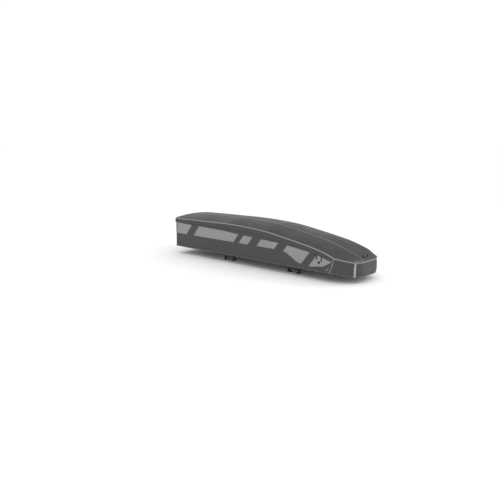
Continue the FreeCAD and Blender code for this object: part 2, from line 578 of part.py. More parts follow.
frames, pads, pins, washers = [], [], [], []
clamp_names = ("rear_near", "rear_far", "front_near", "front_far")
for name, (x, y) in zip(clamp_names, clamp_places):
    place = V(x, y, 0)
    frames.append(clamp_frame().translated(place))
    for side in (-1, 1):
        mid = side * (FRAME_W - FRAME_SIDE_T) / 2
        pads.append(block(-PAD_L / 2, PAD_L / 2, mid - FRAME_SIDE_T / 2, mid + FRAME_SIDE_T / 2,
                          -FRAME_H - PAD_T, -FRAME_H).translated(place))
    pins += [pivot_pin(end, PIN_R).translated(place) for end in (-1, 1)]
    washer = rod(V(0, 0, RAIL_TOP), V(0, 0, 1), WASHER_R, WASHER_T)
    washers.append(washer.cut(rod(V(0, 0, 0), V(0, 0, 1), STUD_R + 1.0, 60.0)).translated(place))
    save("knob_" + name, knob().translated(place))
    save("draw_nut_" + name, draw_nut().translated(place))
    save("claw_front_" + name, claw(1).translated(place))
    save("claw_rear_" + name, claw(-1).translated(place))
save("clamp_frames", frames)
save("clamp_pads", pads)
save("claw_pins", pins)
save("washers", washers)
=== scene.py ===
"""Slim soft-sided roof box: its cloth, seams, zip, straps and clamps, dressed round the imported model.

Metres. +X is towards the nose, +Y towards the hinge side, +Z up. The origin is under the floor.
"""
import math

import bmesh
import bpy
import numpy as np
from mathutils import Euler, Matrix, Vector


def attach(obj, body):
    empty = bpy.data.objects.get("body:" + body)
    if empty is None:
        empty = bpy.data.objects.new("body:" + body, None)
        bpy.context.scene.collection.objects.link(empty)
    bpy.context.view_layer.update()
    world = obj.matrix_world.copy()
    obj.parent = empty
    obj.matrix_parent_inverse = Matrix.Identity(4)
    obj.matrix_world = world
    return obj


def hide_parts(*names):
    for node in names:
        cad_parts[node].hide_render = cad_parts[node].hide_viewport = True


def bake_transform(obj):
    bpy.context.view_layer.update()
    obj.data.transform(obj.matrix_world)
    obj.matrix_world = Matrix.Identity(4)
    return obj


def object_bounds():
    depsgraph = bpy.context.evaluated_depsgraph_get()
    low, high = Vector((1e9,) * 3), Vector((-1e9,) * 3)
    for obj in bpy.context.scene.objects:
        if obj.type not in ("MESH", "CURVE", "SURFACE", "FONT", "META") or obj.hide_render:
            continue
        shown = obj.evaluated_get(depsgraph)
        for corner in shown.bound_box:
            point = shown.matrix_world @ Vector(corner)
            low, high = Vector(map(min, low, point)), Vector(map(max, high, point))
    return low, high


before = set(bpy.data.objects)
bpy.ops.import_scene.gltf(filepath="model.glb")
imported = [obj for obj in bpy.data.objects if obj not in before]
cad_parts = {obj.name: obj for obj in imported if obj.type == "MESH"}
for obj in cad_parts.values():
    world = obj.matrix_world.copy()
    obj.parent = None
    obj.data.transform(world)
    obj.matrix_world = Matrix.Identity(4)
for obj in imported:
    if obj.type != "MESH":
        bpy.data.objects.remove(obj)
solid_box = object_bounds()


# Studio
# A white sky over white paper, a large soft box overhead and a stronger one behind the nose on the
# hinge side, which gives the far shoulder its bright edge. The camera stands on the zip side.
MM = 0.001
CAMERA_PLACE = (3.2271, -4.0462, 1.0930)
CAMERA_YAW, CAMERA_DOWN, CAMERA_ROLL = 40.6555, 11.4444, 0.2845
CAMERA_LENS, SENSOR = 44.459, 36.0
FLOOR_SIZE, PAPER_GAP = 60.0, 0.5 * MM
SKY = 1.04


def linear(colour):
    """sRGB hex to linear: c / 12.92 up to 0.04045, and ((c + 0.055) / 1.055) ** 2.4 above it."""
    c = np.array([int(colour[i:i + 2], 16) for i in (0, 2, 4)]) / 255.0
    c = np.where(c <= 0.04045, c / 12.92, ((c + 0.055) / 1.055) ** 2.4)
    return (float(c[0]), float(c[1]), float(c[2]), 1.0)


def new_material(name):
    """An empty node material: the material, its tree and its surface shader."""
    material = bpy.data.materials.new(name)
    material.use_nodes = True
    tree = material.node_tree
    return material, tree, tree.nodes["Principled BSDF"]


def set_inputs(tree, node, inputs):
    """Sets the named inputs of a node, each to a value or to an output that is linked to it."""
    for key, value in inputs.items():
        if isinstance(value, bpy.types.NodeSocket):
            tree.links.new(value, node.inputs[key])
        else:
            node.inputs[key].default_value = value


def place_camera():
    """Camera at the photograph's place: turned about +Z, looking down, with a slight roll."""
    data = bpy.data.cameras.new("camera")
    data.lens = CAMERA_LENS
    data.sensor_width = SENSOR
    camera = bpy.data.objects.new("camera", data)
    camera.location = CAMERA_PLACE
    turn = Euler((math.radians(90.0 - CAMERA_DOWN), 0.0, math.radians(CAMERA_YAW)), "XYZ").to_matrix()
    roll = Euler((0.0, 0.0, math.radians(CAMERA_ROLL)), "XYZ").to_matrix()
    camera.rotation_euler = (turn @ roll).to_euler()
    bpy.context.collection.objects.link(camera)
    bpy.context.scene.camera = camera


def soft_light(name, place, turn, size, power):
    """A square soft box."""
    data = bpy.data.lights.new(name, "AREA")
    data.shape = "SQUARE"
    data.size = size
    data.energy = power
    light = bpy.data.objects.new(name, data)
    light.location = place
    light.rotation_euler = [math.radians(a) for a in turn]
    bpy.context.collection.objects.link(light)


place_camera()
soft_light("overhead", place=(0.0, -0.6, 4.5), turn=(8.0, 0.0, 0.0), size=4.0, power=12.0)
soft_light("behind_the_nose", place=(3.2, 3.0, 1.5), turn=(-72.0, 0.0, -42.0), size=2.4, power=48.0)
bpy.context.scene.view_settings.view_transform = "Standard"
world = bpy.data.worlds.new("sky")
world.use_nodes = True
sky = world.node_tree.nodes["Background"]
set_inputs(world.node_tree, sky, {"Color": linear("ffffff"), "Strength": SKY})
bpy.context.scene.world = world
half = FLOOR_SIZE / 2
ground = solid_box[0][2] - PAPER_GAP
paper_corners = [(-half, -half, ground), (half, -half, ground), (half, half, ground), (-half, half, ground)]
floor_mesh = bpy.data.meshes.new("floor")
floor_mesh.from_pydata(paper_corners, [], [(0, 1, 2, 3)])
floor = bpy.data.objects.new("floor", floor_mesh)
bpy.context.collection.objects.link(floor)
paper, tree, shader = new_material("white paper")
set_inputs(tree, shader, {"Base Color": linear("fdfdfd"), "Roughness": 0.95, "Specular IOR Level": 0.1})
floor_mesh.materials.append(paper)


# Lid
# Two long panels of coated polyester over thin foam board, sewn together along the middle. Four
# glass fibre bows under them give the crown, and the cloth dips a little between the bows.
HALF_L, HALF_W = 0.950, 0.250
EDGE_ROWS = np.array([(-960, 256, 20), (-560, 266, 24), (-230, 271, 25), (90, 257, 24), (323, 226, 21),
                      (569, 186, 15), (682, 160, 11), (795, 124, 8), (870, 104, 4), (960, 90.5, 2.5)]) * MM
LID_T = 5.0 * MM
PANEL_IN = 4.2 * MM
BOWS = np.array([-700, -300, 100, 480]) * MM
BOW_LIFT, BOW_LIFT_W = 1.3 * MM, 0.022
BOW_SAG, BOW_SPACING = 1.6 * MM, 0.400
STIFF_EDGE, EDGE_ROLL, EDGE_ROLL_W = 0.020, 2.4 * MM, 0.007
SEAM_DIP, SEAM_DIP_W = 1.4 * MM, 0.006
SEAM_PUCKER, SEAM_PUCKER_L, SEAM_PUCKER_W = 0.45 * MM, 0.026, 0.028
HEM_PUCKER, HEM_PUCKER_L, HEM_PUCKER_IN, HEM_PUCKER_W = 0.40 * MM, 0.031, 0.010, 0.014
CORNER_RADII = np.array([28, 20, 110, 140, 140, 110, 70, 28]) * MM
LEAST_RADIUS = 3.0 * MM
TAPER_X, LEAN = 0.755, 0.33
SHOULDER_X, SHOULDER_Y = 0.923, 0.164
NOSE_HALF_W = 0.098
LID_LEVEL = 0.120
ARC_STEPS = 11
FINE_STEP = 4.0 * MM
WAVES = 7
SIDE_NAMES = {-1: "zip_side", 1: "hinge_side"}


def scaled(colour, factor):
    """An sRGB hex colour made linear and multiplied by a factor, kept at or below white."""
    return tuple(min(1.0, c * factor) for c in linear(colour)[:3]) + (1.0,)


def add(tree, kind, inputs, **settings):
    """Adds one node, with its options and its inputs."""
    node = tree.nodes.new(kind)
    for key, value in settings.items():
        setattr(node, key, value)
    set_inputs(tree, node, inputs)
    return node


def cloth(name, colour, rough, thread_mm=2.2, mottle=0.09, shine=0.3):
    """Coated polyester: a plain weave under a thin matte coating, drawn from the piece's own cloth map.

    The real threads are 0.5 mm apart; they are drawn thread_mm apart so that they show. Colour is
    the base, in clouds about 125 mm across, times the weave. The coating's grain is a second bump,
    2.6 mm across and so coarser than the real one."""
    material, tree, shader = new_material(name)
    flat = add(tree, "ShaderNodeUVMap", {}, uv_map="cloth").outputs[0]
    place = add(tree, "ShaderNodeTexCoord", {}).outputs["Object"]
    pitch = {"Vector": flat, "Scale": math.pi / (10.0 * thread_mm * MM), "Distortion": 0.3}
    warp, weft = [add(tree, "ShaderNodeTexWave", pitch, wave_type="BANDS",
                      bands_direction=axis).outputs["Fac"] for axis in "XY"]
    weave = add(tree, "ShaderNodeMath", {0: warp, 1: weft}, operation="MULTIPLY").outputs[0]
    cloud = add(tree, "ShaderNodeTexNoise", {"Vector": place, "Scale": 8.0, "Detail": 4.0}).outputs["Fac"]
    grain = add(tree, "ShaderNodeTexNoise", {"Vector": place, "Scale": 380.0, "Detail": 2.0}).outputs["Fac"]
    tone = add(tree, "ShaderNodeMix", {0: cloud, 6: scaled(colour, 1.0 - mottle),
                                       7: scaled(colour, 1.0 + mottle)}, data_type="RGBA").outputs[2]
    # The weave's crossings are painted lighter and the gaps between the threads darker: painted light and
    # painted shade on the threads.
    thread = add(tree, "ShaderNodeMix", {0: weave, 6: (0.88, 0.88, 0.88, 1.0), 7: (1.12, 1.12, 1.12, 1.0)},
                 data_type="RGBA", clamp_result=False).outputs[2]
    woven = add(tree, "ShaderNodeMix", {0: 1.0, 6: tone, 7: thread}, data_type="RGBA",
                blend_type="MULTIPLY").outputs[2]
    gloss = add(tree, "ShaderNodeMapRange", {"Value": cloud, "From Min": 0.3, "From Max": 0.7,
                                             "To Min": rough - 0.05, "To Max": rough + 0.05}).outputs[0]
    coating = add(tree, "ShaderNodeBump", {"Height": grain, "Strength": 0.2,
                                           "Distance": 0.5 * MM}).outputs[0]
    threads = add(tree, "ShaderNodeBump", {"Height": weave, "Strength": 0.25, "Distance": 0.7 * MM,
                                           "Normal": coating}).outputs[0]
    set_inputs(tree, shader, {
        "Base Color": woven, "Roughness": gloss, "Normal": threads, "IOR": 1.45,
        "Specular IOR Level": shine, "Sheen Weight": 0.1 * shine, "Sheen Roughness": 0.5})
    return material


def edge_line(x, item):
    """Edge height (item 1) or crown (item 2) at x: cubic Hermite arcs through the rows, with their slopes
    by central difference."""
    rows = EDGE_ROWS
    last = len(rows) - 1
    k = np.arange(last + 1)
    high, low = np.minimum(k + 1, last), np.maximum(k - 1, 0)
    rate = (rows[high, item] - rows[low, item]) / (rows[high, 0] - rows[low, 0])
    i = np.clip(np.searchsorted(rows[:, 0], x, side="right") - 1, 0, last - 1)
    span = rows[i + 1, 0] - rows[i, 0]
    t = (x - rows[i, 0]) / span
    return ((2 * t ** 3 - 3 * t ** 2 + 1) * rows[i, item] + (t ** 3 - 2 * t ** 2 + t) * span * rate[i]
            + (3 * t ** 2 - 2 * t ** 3) * rows[i + 1, item] + (t ** 3 - t ** 2) * span * rate[i + 1])


def lid_height(x, y):
    """Plain crowned top: edge height plus crown times one minus the square of y over the half width."""
    return edge_line(x, 1) + edge_line(x, 2) * (1.0 - (y / HALF_W) ** 2)


def joined(*axes):
    """Points from their coordinates, each an array or one number for all."""
    return np.stack(np.broadcast_arrays(*axes), -1)


def unit(vectors):
    """Vectors scaled to length one."""
    return vectors / np.linalg.norm(vectors, axis=-1, keepdims=True)


def outline(inset, heights, step):
    """Plan outline moved inwards by inset: its points at each height, and each corner's first and last.

    Eight corners in order from the rear on the zip side. Each side is shifted along its normal,
    neighbours meet at the new corners, and every corner is rounded by a tangent arc. The corners
    where the sides turn in lean forwards with height."""
    z = np.atleast_1d(np.asarray(heights, float))
    one = np.ones_like(z)
    half_way = [(-HALF_L * one, -HALF_W), (TAPER_X + LEAN * z, -HALF_W), (SHOULDER_X * one, -SHOULDER_Y),
                (HALF_L * one, -NOSE_HALF_W)]
    corners = half_way + [(x, -y) for x, y in reversed(half_way)]
    p = np.stack([joined(x, y) for x, y in corners], 1)
    after = unit(np.roll(p, -1, 1) - p)
    normal = joined(-after[..., 1], after[..., 0])
    level = (normal * p).sum(-1) + inset
    n0, c0 = np.roll(normal, 1, 1), np.roll(level, 1, 1)
    det = n0[..., 0] * normal[..., 1] - normal[..., 0] * n0[..., 1]
    q = joined((c0 * normal[..., 1] - level * n0[..., 1]) / det,
               (n0[..., 0] * level - normal[..., 0] * c0) / det)
    before = -np.roll(after, 1, 1)
    half_angle = 0.5 * np.arccos(np.clip((before * after).sum(-1), -1, 1))
    radius = np.maximum(CORNER_RADII - inset, LEAST_RADIUS)
    centre = q + unit(before + after) * (radius / np.sin(half_angle))[..., None]
    reach = (radius / np.tan(half_angle))[..., None]
    first, last = q + before * reach, q + after * reach
    share = np.linspace(0, 1, ARC_STEPS)
    parts, spans, count = [], [], 0
    for i in range(8):
        a = share[None, :] * (np.pi - 2 * half_angle[:, i])[:, None]
        arm = (first[:, i] - centre[:, i])[:, None, :]
        arc = joined(arm[..., 0] * np.cos(a) - arm[..., 1] * np.sin(a),
                     arm[..., 0] * np.sin(a) + arm[..., 1] * np.cos(a)) + centre[:, i][:, None, :]
        begin, end = last[:, i], first[:, (i + 1) % 8]
        steps = max(2, int(round(np.linalg.norm(end[0] - begin[0]) / step)))
        run = np.linspace(0, 1, steps + 1)[1:-1]
        spans.append((count, count + ARC_STEPS))
        count += ARC_STEPS + len(run)
        parts += [arc, begin[:, None, :] + (end - begin)[:, None, :] * run[None, :, None]]
    return np.concatenate(parts, 1), spans


def make_piece(name, points, faces, uv, body, material):
    """A smooth mesh piece that rides on its body, if one is named. uv is in metres of cloth."""
    mesh = bpy.data.meshes.new(name)
    mesh.from_pydata(np.asarray(points).reshape(-1, 3).tolist(), [], faces)
    layer = mesh.uv_layers.new(name="cloth")
    corner = np.empty(len(mesh.loops), dtype=np.int32)
    mesh.loops.foreach_get("vertex_index", corner)
    layer.data.foreach_set("uv", np.asarray(uv).reshape(-1, 2)[corner].astype(np.float32).ravel())
    mesh.polygons.foreach_set("use_smooth", np.ones(len(mesh.polygons), dtype=bool))
    mesh.materials.append(material)
    work = bmesh.new()
    work.from_mesh(mesh)
    bmesh.ops.recalc_face_normals(work, faces=work.faces)
    work.to_mesh(mesh)
    work.free()
    obj = bpy.data.objects.new(name, mesh)
    bpy.context.collection.objects.link(obj)
    if body:
        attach(obj, body)
    return obj


def grid_faces(rows, columns, first=0, around=False):
    """Index quads of a rows by columns grid; around joins the last column to the first."""
    r = first + columns * np.arange(rows - 1)[:, None]
    c = np.arange(columns if around else columns - 1)
    d = (c + 1) % columns
    return joined(r + c, r + d, r + columns + d, r + columns + c).reshape(-1, 4)


def slab(name, front, back, uv, body, material):
    """A closed sheet between two equal grids of points, with a rim round its border."""
    rows, columns = front.shape[:2]
    n = rows * columns
    index = np.arange(n).reshape(rows, columns)
    rim = np.concatenate([index[0, :-1], index[:-1, -1], index[-1, :0:-1], index[:0:-1, 0]])
    ahead = np.roll(rim, -1)
    faces = np.concatenate([grid_faces(rows, columns), grid_faces(rows, columns, n),
                            joined(rim, ahead, ahead + n, rim + n)])
    obj = make_piece(name, np.concatenate([front.reshape(-1, 3), back.reshape(-1, 3)]), faces.tolist(),
                     np.concatenate([uv.reshape(-1, 2)] * 2), body, material)
    crease = obj.modifiers.new("crisp rim", "EDGE_SPLIT")
    crease.split_angle = math.radians(50.0)
    return obj


LID_CLOTH = cloth("coated polyester, lid", "363637", 0.40, shine=0.09)
panel_line, corner_spans = outline(PANEL_IN, LID_LEVEL, FINE_STEP)
half_line = panel_line[0][:corner_spans[4][0]]
half_line = half_line[np.concatenate([[True], np.diff(half_line[:, 0]) > 0.01 * MM])]
half_x, half_y = half_line[:, 0], -half_line[:, 1]


def bell(x, middle, width):
    """1 at the middle, falling as e to the minus square of the distance over the width."""
    return np.exp(-((x - middle) / width) ** 2)


def waves(u, v, seed, length):
    """Smooth unevenness from -1 to 1: seven seeded sine waves about length long, in random directions."""
    draw = np.random.RandomState(seed)
    total = 0.0
    for _ in range(WAVES):
        turn, phase, size = draw.uniform(0, np.pi), draw.uniform(0, 2 * np.pi), draw.uniform(0.7, 1.5)
        rate = 2 * np.pi / (length * size)
        total = total + np.sin(rate * (u * np.cos(turn) + v * np.sin(turn)) + phase)
    return total / WAVES


def lid_top(x, y):
    """Height of the dressed lid: the crown, rolled down at the piping and dipped at the middle seam.

    Each bow lifts the cloth 1.3 mm and it sags 1.6 mm between them. Small puckers follow the seam
    and the hem, and slow waves about 0.3 m long leave the panels a little uneven."""
    to_end = np.minimum(x - half_x[0], half_x[-1] - x)
    to_edge = np.maximum(np.minimum(np.interp(x, half_x, half_y) - np.abs(y), to_end), 0.0)
    inner = 1.0 - np.exp(-(to_edge / STIFF_EDGE) ** 2)
    lift = BOW_LIFT * sum(bell(x, b, BOW_LIFT_W) for b in BOWS)
    sag = BOW_SAG * (0.5 - 0.5 * np.cos(2 * np.pi * (x - BOWS[0]) / BOW_SPACING))
    uneven = 1.1 * MM * waves(x, y * 1.6, 3, 0.34) + 0.35 * MM * waves(x, y, 8, 0.09)
    seam_wave = np.sin(2 * np.pi * x / SEAM_PUCKER_L + 1.5 * waves(x, y, 5, 0.2))
    hem_wave = np.sin(2 * np.pi * x / HEM_PUCKER_L + 2.0 * waves(x, y, 6, 0.25))
    return (lid_height(x, y) + (lift - sag + uneven) * inner - EDGE_ROLL * np.exp(-to_edge / EDGE_ROLL_W)
            - SEAM_DIP * bell(y, 0.0, SEAM_DIP_W) + SEAM_PUCKER * seam_wave * bell(y, 0.0, SEAM_PUCKER_W)
            + HEM_PUCKER * hem_wave * bell(to_edge, HEM_PUCKER_IN, HEM_PUCKER_W))


def lid_panel(side, node):
    """One half of the lid: stations along x, and shares of the half width across, closer at the edges."""
    share = 0.5 - 0.5 * np.cos(np.linspace(0, np.pi, 44))
    x, y = half_x[:, None], side * half_y[:, None] * share
    panel = slab("lid_panel_" + SIDE_NAMES[side], joined(x, y, lid_top(x, y)),
                 joined(x, y, lid_height(x, y) - LID_T), joined(x, y), "lid", LID_CLOTH)
    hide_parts(node)


lid_panel(-1, "lid_panel_near")
lid_panel(1, "lid_panel_far")


# Lid piping and seam
# A round cord in pale grey tape is sewn into the lid's edge all round. A thinner one covers the seam
# between the panels; at the nose it turns aside, then back along the edge to the light strip.
PIPING_R = 3.0 * MM
PIPING_DROP = 2.4 * MM
SEAM_R = 1.6 * MM
SEAM_POINTS = [(-0.930, 0.0), (0.850, 0.0), (0.921, -0.043), (0.905, -0.153)]
SEAM_CUTS = [0.050, 0.006]
CORD_STEP = 6.0 * MM
UP = (0.0, 0.0, 1.0)


def run_of(line):
    """Distance along a line from its start to each of its points."""
    return np.concatenate([[0], np.cumsum(np.linalg.norm(np.diff(line, axis=0), axis=1))])


def at_run(distance, run, line):
    """Points of a line at a distance along it."""
    return joined(*[np.interp(distance, run, line[:, k]) for k in range(line.shape[1])])


def soft_path(points, cuts, step):
    """A line through points whose inner corners are rounded by parabolas, resampled at even steps.

    cuts holds how far from each inner corner its parabola starts and ends."""
    points = np.asarray(points, float)
    line = [points[:1]]
    t = np.linspace(0, 1, 13)[:, None]
    for before, here, after, cut in zip(points, points[1:], points[2:], cuts):
        a = here + unit(before - here) * cut
        b = here + unit(after - here) * cut
        line.append((1 - t) ** 2 * a + 2 * t * (1 - t) * here + t ** 2 * b)
    line = np.concatenate(line + [points[-1:]])
    run = run_of(line)
    return at_run(np.linspace(0, run[-1], max(3, int(run[-1] / step))), run, line)


def circle(radius, sides):
    """A round section."""
    a = np.linspace(0, 2 * np.pi, sides, endpoint=False)
    return joined(radius * np.cos(a), radius * np.sin(a))


def tube(name, path, section, body, material, up=UP, across=None, closed=False):
    """Carries a section along a path. Its first axis is across, or the path's direction crossed with up;
    its second completes it. Open ends are closed by fans, and section may change from ring to ring."""
    path = np.asarray(path, float)
    way = unit(np.roll(path, -1, 0) - np.roll(path, 1, 0) if closed else np.gradient(path, axis=0))
    side = unit(np.cross(way, up) if across is None else np.tile(np.asarray(across, float), (len(path), 1)))
    lift = np.cross(side, way)
    section = np.broadcast_to(section, (len(path),) + np.shape(section)[-2:])
    rings = path[:, None] + side[:, None] * section[..., :1] + lift[:, None] * section[..., 1:]
    rows, sides = rings.shape[:2]
    girth = np.linalg.norm(np.diff(rings[0], axis=0, append=rings[0][:1]), axis=1).cumsum()
    uv = joined(run_of(path)[:, None], girth[None, :]).reshape(-1, 2)
    points = rings.reshape(-1, 3)
    faces = grid_faces(rows, sides, around=True).tolist()
    c = np.arange(sides)
    d = (c + 1) % sides
    if closed:
        last = (rows - 1) * sides
        faces += joined(last + c, last + d, d, c).tolist()
    else:
        n = rows * sides
        points = np.concatenate([points, [rings[0].mean(0), rings[-1].mean(0)]])
        uv = np.concatenate([uv, uv[:1], uv[-1:]])
        faces += joined(c, d, n).tolist() + joined(c + n - sides, d + n - sides, n + 1).tolist()
    return make_piece(name, points, faces, uv, body, material)


def plan_line(inset, step, level=LID_LEVEL):
    """The outline at one height, as one closed run of points."""
    return outline(inset, level, step)[0][0]


def on_lid(plan, lift=0.0):
    """Plan points put on the dressed lid, or above it."""
    return np.column_stack([plan, lid_top(plan[:, 0], plan[:, 1]) + lift])


PIPING_TAPE = cloth("piping tape, pale grey", "a5a5a6", 0.62, thread_mm=1.6, mottle=0.06)
edge_path = plan_line(PIPING_R + 0.2 * MM, CORD_STEP)
edge_top = lid_height(edge_path[:, 0], edge_path[:, 1]) - PIPING_DROP
edge_run = np.arange(len(edge_path)) * CORD_STEP
wrap = 1.0 + 0.03 * np.sin(2 * np.pi * edge_run / 0.030) + 0.02 * waves(edge_run, edge_run, 14, 0.2)
piping = tube("lid_edge_piping", np.column_stack([edge_path, edge_top]),
              circle(PIPING_R, 12) * wrap[:, None, None], "lid", PIPING_TAPE, closed=True)
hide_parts("lid_piping")
seam = tube("lid_seam_cord", on_lid(soft_path(SEAM_POINTS, SEAM_CUTS, 5.0 * MM), 0.5 * SEAM_R),
            circle(SEAM_R, 8), "lid", PIPING_TAPE)
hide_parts("centre_seam")


# Lid stitching
# Lockstitch in grey bonded thread: two rows round the edge behind the piping, and one on each side
# of the middle seam. A stitch is 5.5 mm long every 8 mm, a little coarser than the real 4 mm.
STITCH_PITCH, STITCH_L, STITCH_R = 8.0 * MM, 5.5 * MM, 0.45 * MM
STITCH_RINGS = ((-0.5, 0.35, -0.5), (-0.25, 1.0, 0.35), (0.25, 1.0, 0.35), (0.5, 0.35, -0.5))
HEM_ROWS = (9.0 * MM, 14.0 * MM)
SEAM_ROW = 6.0 * MM


def plain(name, colour, rough, metal=0.0, grain_mm=1.0, depth=0.15, mottle=0.08, spangle=False):
    """A hard or moulded finish: base colour in clouds 40 mm across, or in 6 mm crystals for zinc.

    Roughness follows the clouding by plus or minus 0.06, and the grain is a bump grain_mm across."""
    material, tree, shader = new_material(name)
    place = add(tree, "ShaderNodeTexCoord", {}).outputs["Object"]
    if spangle:
        crystals = add(tree, "ShaderNodeTexVoronoi", {"Vector": place, "Scale": 160.0})
        cloud = add(tree, "ShaderNodeSeparateColor", {0: crystals.outputs["Color"]}).outputs[0]
    else:
        cloud = add(tree, "ShaderNodeTexNoise", {"Vector": place, "Scale": 24.0,
                                                 "Detail": 5.0}).outputs["Fac"]
    grain = add(tree, "ShaderNodeTexNoise", {"Vector": place, "Scale": 1.0 / (grain_mm * MM),
                                             "Detail": 2.0}).outputs["Fac"]
    tone = add(tree, "ShaderNodeMix", {0: cloud, 6: scaled(colour, 1.0 - mottle),
                                       7: scaled(colour, 1.0 + mottle)}, data_type="RGBA").outputs[2]
    gloss = add(tree, "ShaderNodeMapRange", {"Value": cloud, "To Min": rough - 0.06,
                                             "To Max": rough + 0.06}).outputs[0]
    skin = add(tree, "ShaderNodeBump", {"Height": grain, "Strength": depth,
                                        "Distance": 0.3 * grain_mm * MM}).outputs[0]
    set_inputs(tree, shader, {"Base Color": tone, "Roughness": gloss, "Normal": skin, "Metallic": metal})
    return material


def stitches(name, rows, body):
    """Rows of stitches, each given as its points and normals. A stitch is a slim spindle of four rings of
    four points, half sunk into the cloth at its ends."""
    points, faces, count = [], [], 0
    one = np.concatenate([grid_faces(4, 4, around=True), [[0, 1, 2, 3], [12, 13, 14, 15]]])
    for path, normal in rows:
        normal = np.broadcast_to(normal, path.shape)
        run = run_of(path)
        middle = np.arange(STITCH_PITCH / 2, run[-1] - STITCH_L / 2, STITCH_PITCH)
        if not len(middle):
            continue
        rings = []
        for along, thick, up in STITCH_RINGS:
            at = middle + along * STITCH_L
            p, ahead, behind = [at_run(at + move, run, path) for move in (0.0, 0.5 * MM, -0.5 * MM)]
            n = at_run(at, run, normal)
            side = np.cross(ahead - behind, n)
            side /= np.maximum(np.linalg.norm(side, axis=1, keepdims=True), 1e-9)
            r = STITCH_R * thick
            base = p + n * up * STITCH_R
            rings.append(np.stack([base + side * r, base + n * r, base - side * r, base - n * r], 1))
        points.append(np.stack(rings, 1).reshape(-1, 3))
        faces.append((one[None] + (np.arange(len(middle)) * 16)[:, None, None]).reshape(-1, 4) + count)
        count += len(middle) * 16
    points = np.concatenate(points)
    sewn = make_piece(name, points, np.concatenate(faces).tolist(), points[:, :2], body, THREAD)


def hem_plan(inset):
    """Closed plan line inside the lid's edge."""
    line = plan_line(PANEL_IN + inset, CORD_STEP)
    return np.concatenate([line, line[:1]])


# Bonded thread is dull, and a little uneven in tone along the rows.
THREAD = plain("bonded thread, grey", "8d8e90", 0.6, grain_mm=0.4)
straight_x = np.linspace(-0.925, 0.745, 340)
lid_rows = [hem_plan(inset) for inset in HEM_ROWS]
lid_rows += [joined(straight_x, side * SEAM_ROW) for side in (-1, 1)]
stitches("lid_stitching", [(on_lid(row), UP) for row in lid_rows], "lid")


# Walls
# Foam board about 5 mm thick in the same coated cloth, sewn at the corners. The cloth puckers along
# the bottom seam and lies a little uneven over the board.
NOSE_BEND_X, NOSE_DROP = 0.750, 0.020
SKIN_T, WALL_T = 1.5 * MM, 5.0 * MM
WALL_IN = 6.7 * MM
WALL_GAP = 0.6 * MM
SWELL, SWELL_PAST_SEAM = 4.0 * MM, (0.800, 0.860)
SWELL_BELOW_LID, SWELL_ABOVE_FLOOR = (0.024, 0.034), (0.004, 0.022)
PUCKER, PUCKER_L, PUCKER_H = 0.5 * MM, 0.033, 0.020
WALL_ROWS = 26
WALL_CLOTH = cloth("coated polyester, walls", "49494a", 0.62)


def floor_height(x):
    """Underside of the floor cloth: flat, then sloping down under the nose."""
    return -NOSE_DROP / (HALF_L - NOSE_BEND_X) * np.maximum(0.0, x - NOSE_BEND_X)


def smooth_step(value, start, end):
    """0 before start, 1 past end and a smooth rise between them."""
    t = np.clip((value - start) / (end - start), 0, 1)
    return t * t * (3 - 2 * t)


def nose_swell(x, z, y):
    """How far the nose wall swells out below the flap, where the box is packed full: a smooth step past
    the corner seam, times one below the flap's hem, times one above the binding."""
    return (SWELL * smooth_step(x, *SWELL_PAST_SEAM) * smooth_step(lid_height(x, y) - z, *SWELL_BELOW_LID)
            * smooth_step(z - floor_height(x), *SWELL_ABOVE_FLOOR))


def wall_grid(first, last, inset):
    """Points of the walls between two outline indices: rows from the floor cloth up to the lid."""
    share = 0.5 - 0.5 * np.cos(np.linspace(0, np.pi, WALL_ROWS))
    plan, _ = outline(inset, share * LID_LEVEL, FINE_STEP)
    plan = np.concatenate([plan, plan], 1)[:, first:last]
    low = floor_height(plan[..., 0]) + SKIN_T
    high = lid_height(plan[..., 0], plan[..., 1]) - LID_T - WALL_GAP
    return joined(plan[..., 0], plan[..., 1], low + (high - low) * share[:, None]), share[:, None]


def wall(name, first, last, node, seed):
    """One wall: its outer face is pushed out and in by the cloth's unevenness, its inner face is plain."""
    face, share = wall_grid(first, last, WALL_IN)
    inner, _ = wall_grid(first, last, WALL_IN + WALL_T)
    run = np.array([run_of(row) for row in face[..., :2]])
    height = face[..., 2]
    low = (height - height[:1]) / PUCKER_H
    stray = 2.0 * waves(run, height, seed + 1, 0.3)
    puckers = np.exp(-low ** 2) * np.sin(2 * np.pi * run / PUCKER_L + stray)
    slow = 0.9 * MM * waves(run, height * 1.5, seed, 0.30) + 0.25 * MM * waves(run, height, seed + 2, 0.08)
    push = slow * 4.0 * share * (1.0 - share) + PUCKER * puckers - 1.0 * MM * np.exp(-low * 2.5)
    push = push + nose_swell(face[..., 0], height, face[..., 1])
    out = unit((face - inner) * [1.0, 1.0, 0.0])
    board = slab(name, face + out * push[..., None], inner, joined(run, height), "box", WALL_CLOTH)
    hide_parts(node)


wall_line, wall_spans = outline(WALL_IN, 0.0, FINE_STEP)
wall("wall_zip_side", wall_spans[0][1] - 1, wall_spans[1][0] + 1, "near_wall", 21)
wall("wall_nose", wall_spans[1][0], wall_spans[6][1], "nose_wall", 31)
wall("wall_hinge_side", wall_spans[6][1] - 1, wall_spans[7][0] + 1, "far_wall", 41)
wall("wall_rear", wall_spans[7][0], wall_line.shape[1] + wall_spans[0][1], "rear_wall", 51)


# Bottom binding
# A folded tape closes the seam between the walls and the floor cloth all round, with one row of
# stitches in its middle.
BINDING_H, BINDING_T = 11.0 * MM, 1.3 * MM
BINDING_MID = 5.0 * MM
RIB_MM, TWILL = 2.0, 45.0


def flat_section(width, thick):
    """A flat band with rounded edges: wide along the first axis, thick along the second."""
    a = np.linspace(0, 2 * np.pi, 16, endpoint=False)
    c, s = np.cos(a), np.sin(a)
    return joined(width / 2 * np.sign(c) * np.abs(c) ** 0.35, thick / 2 * np.sign(s) * np.abs(s) ** 0.6)


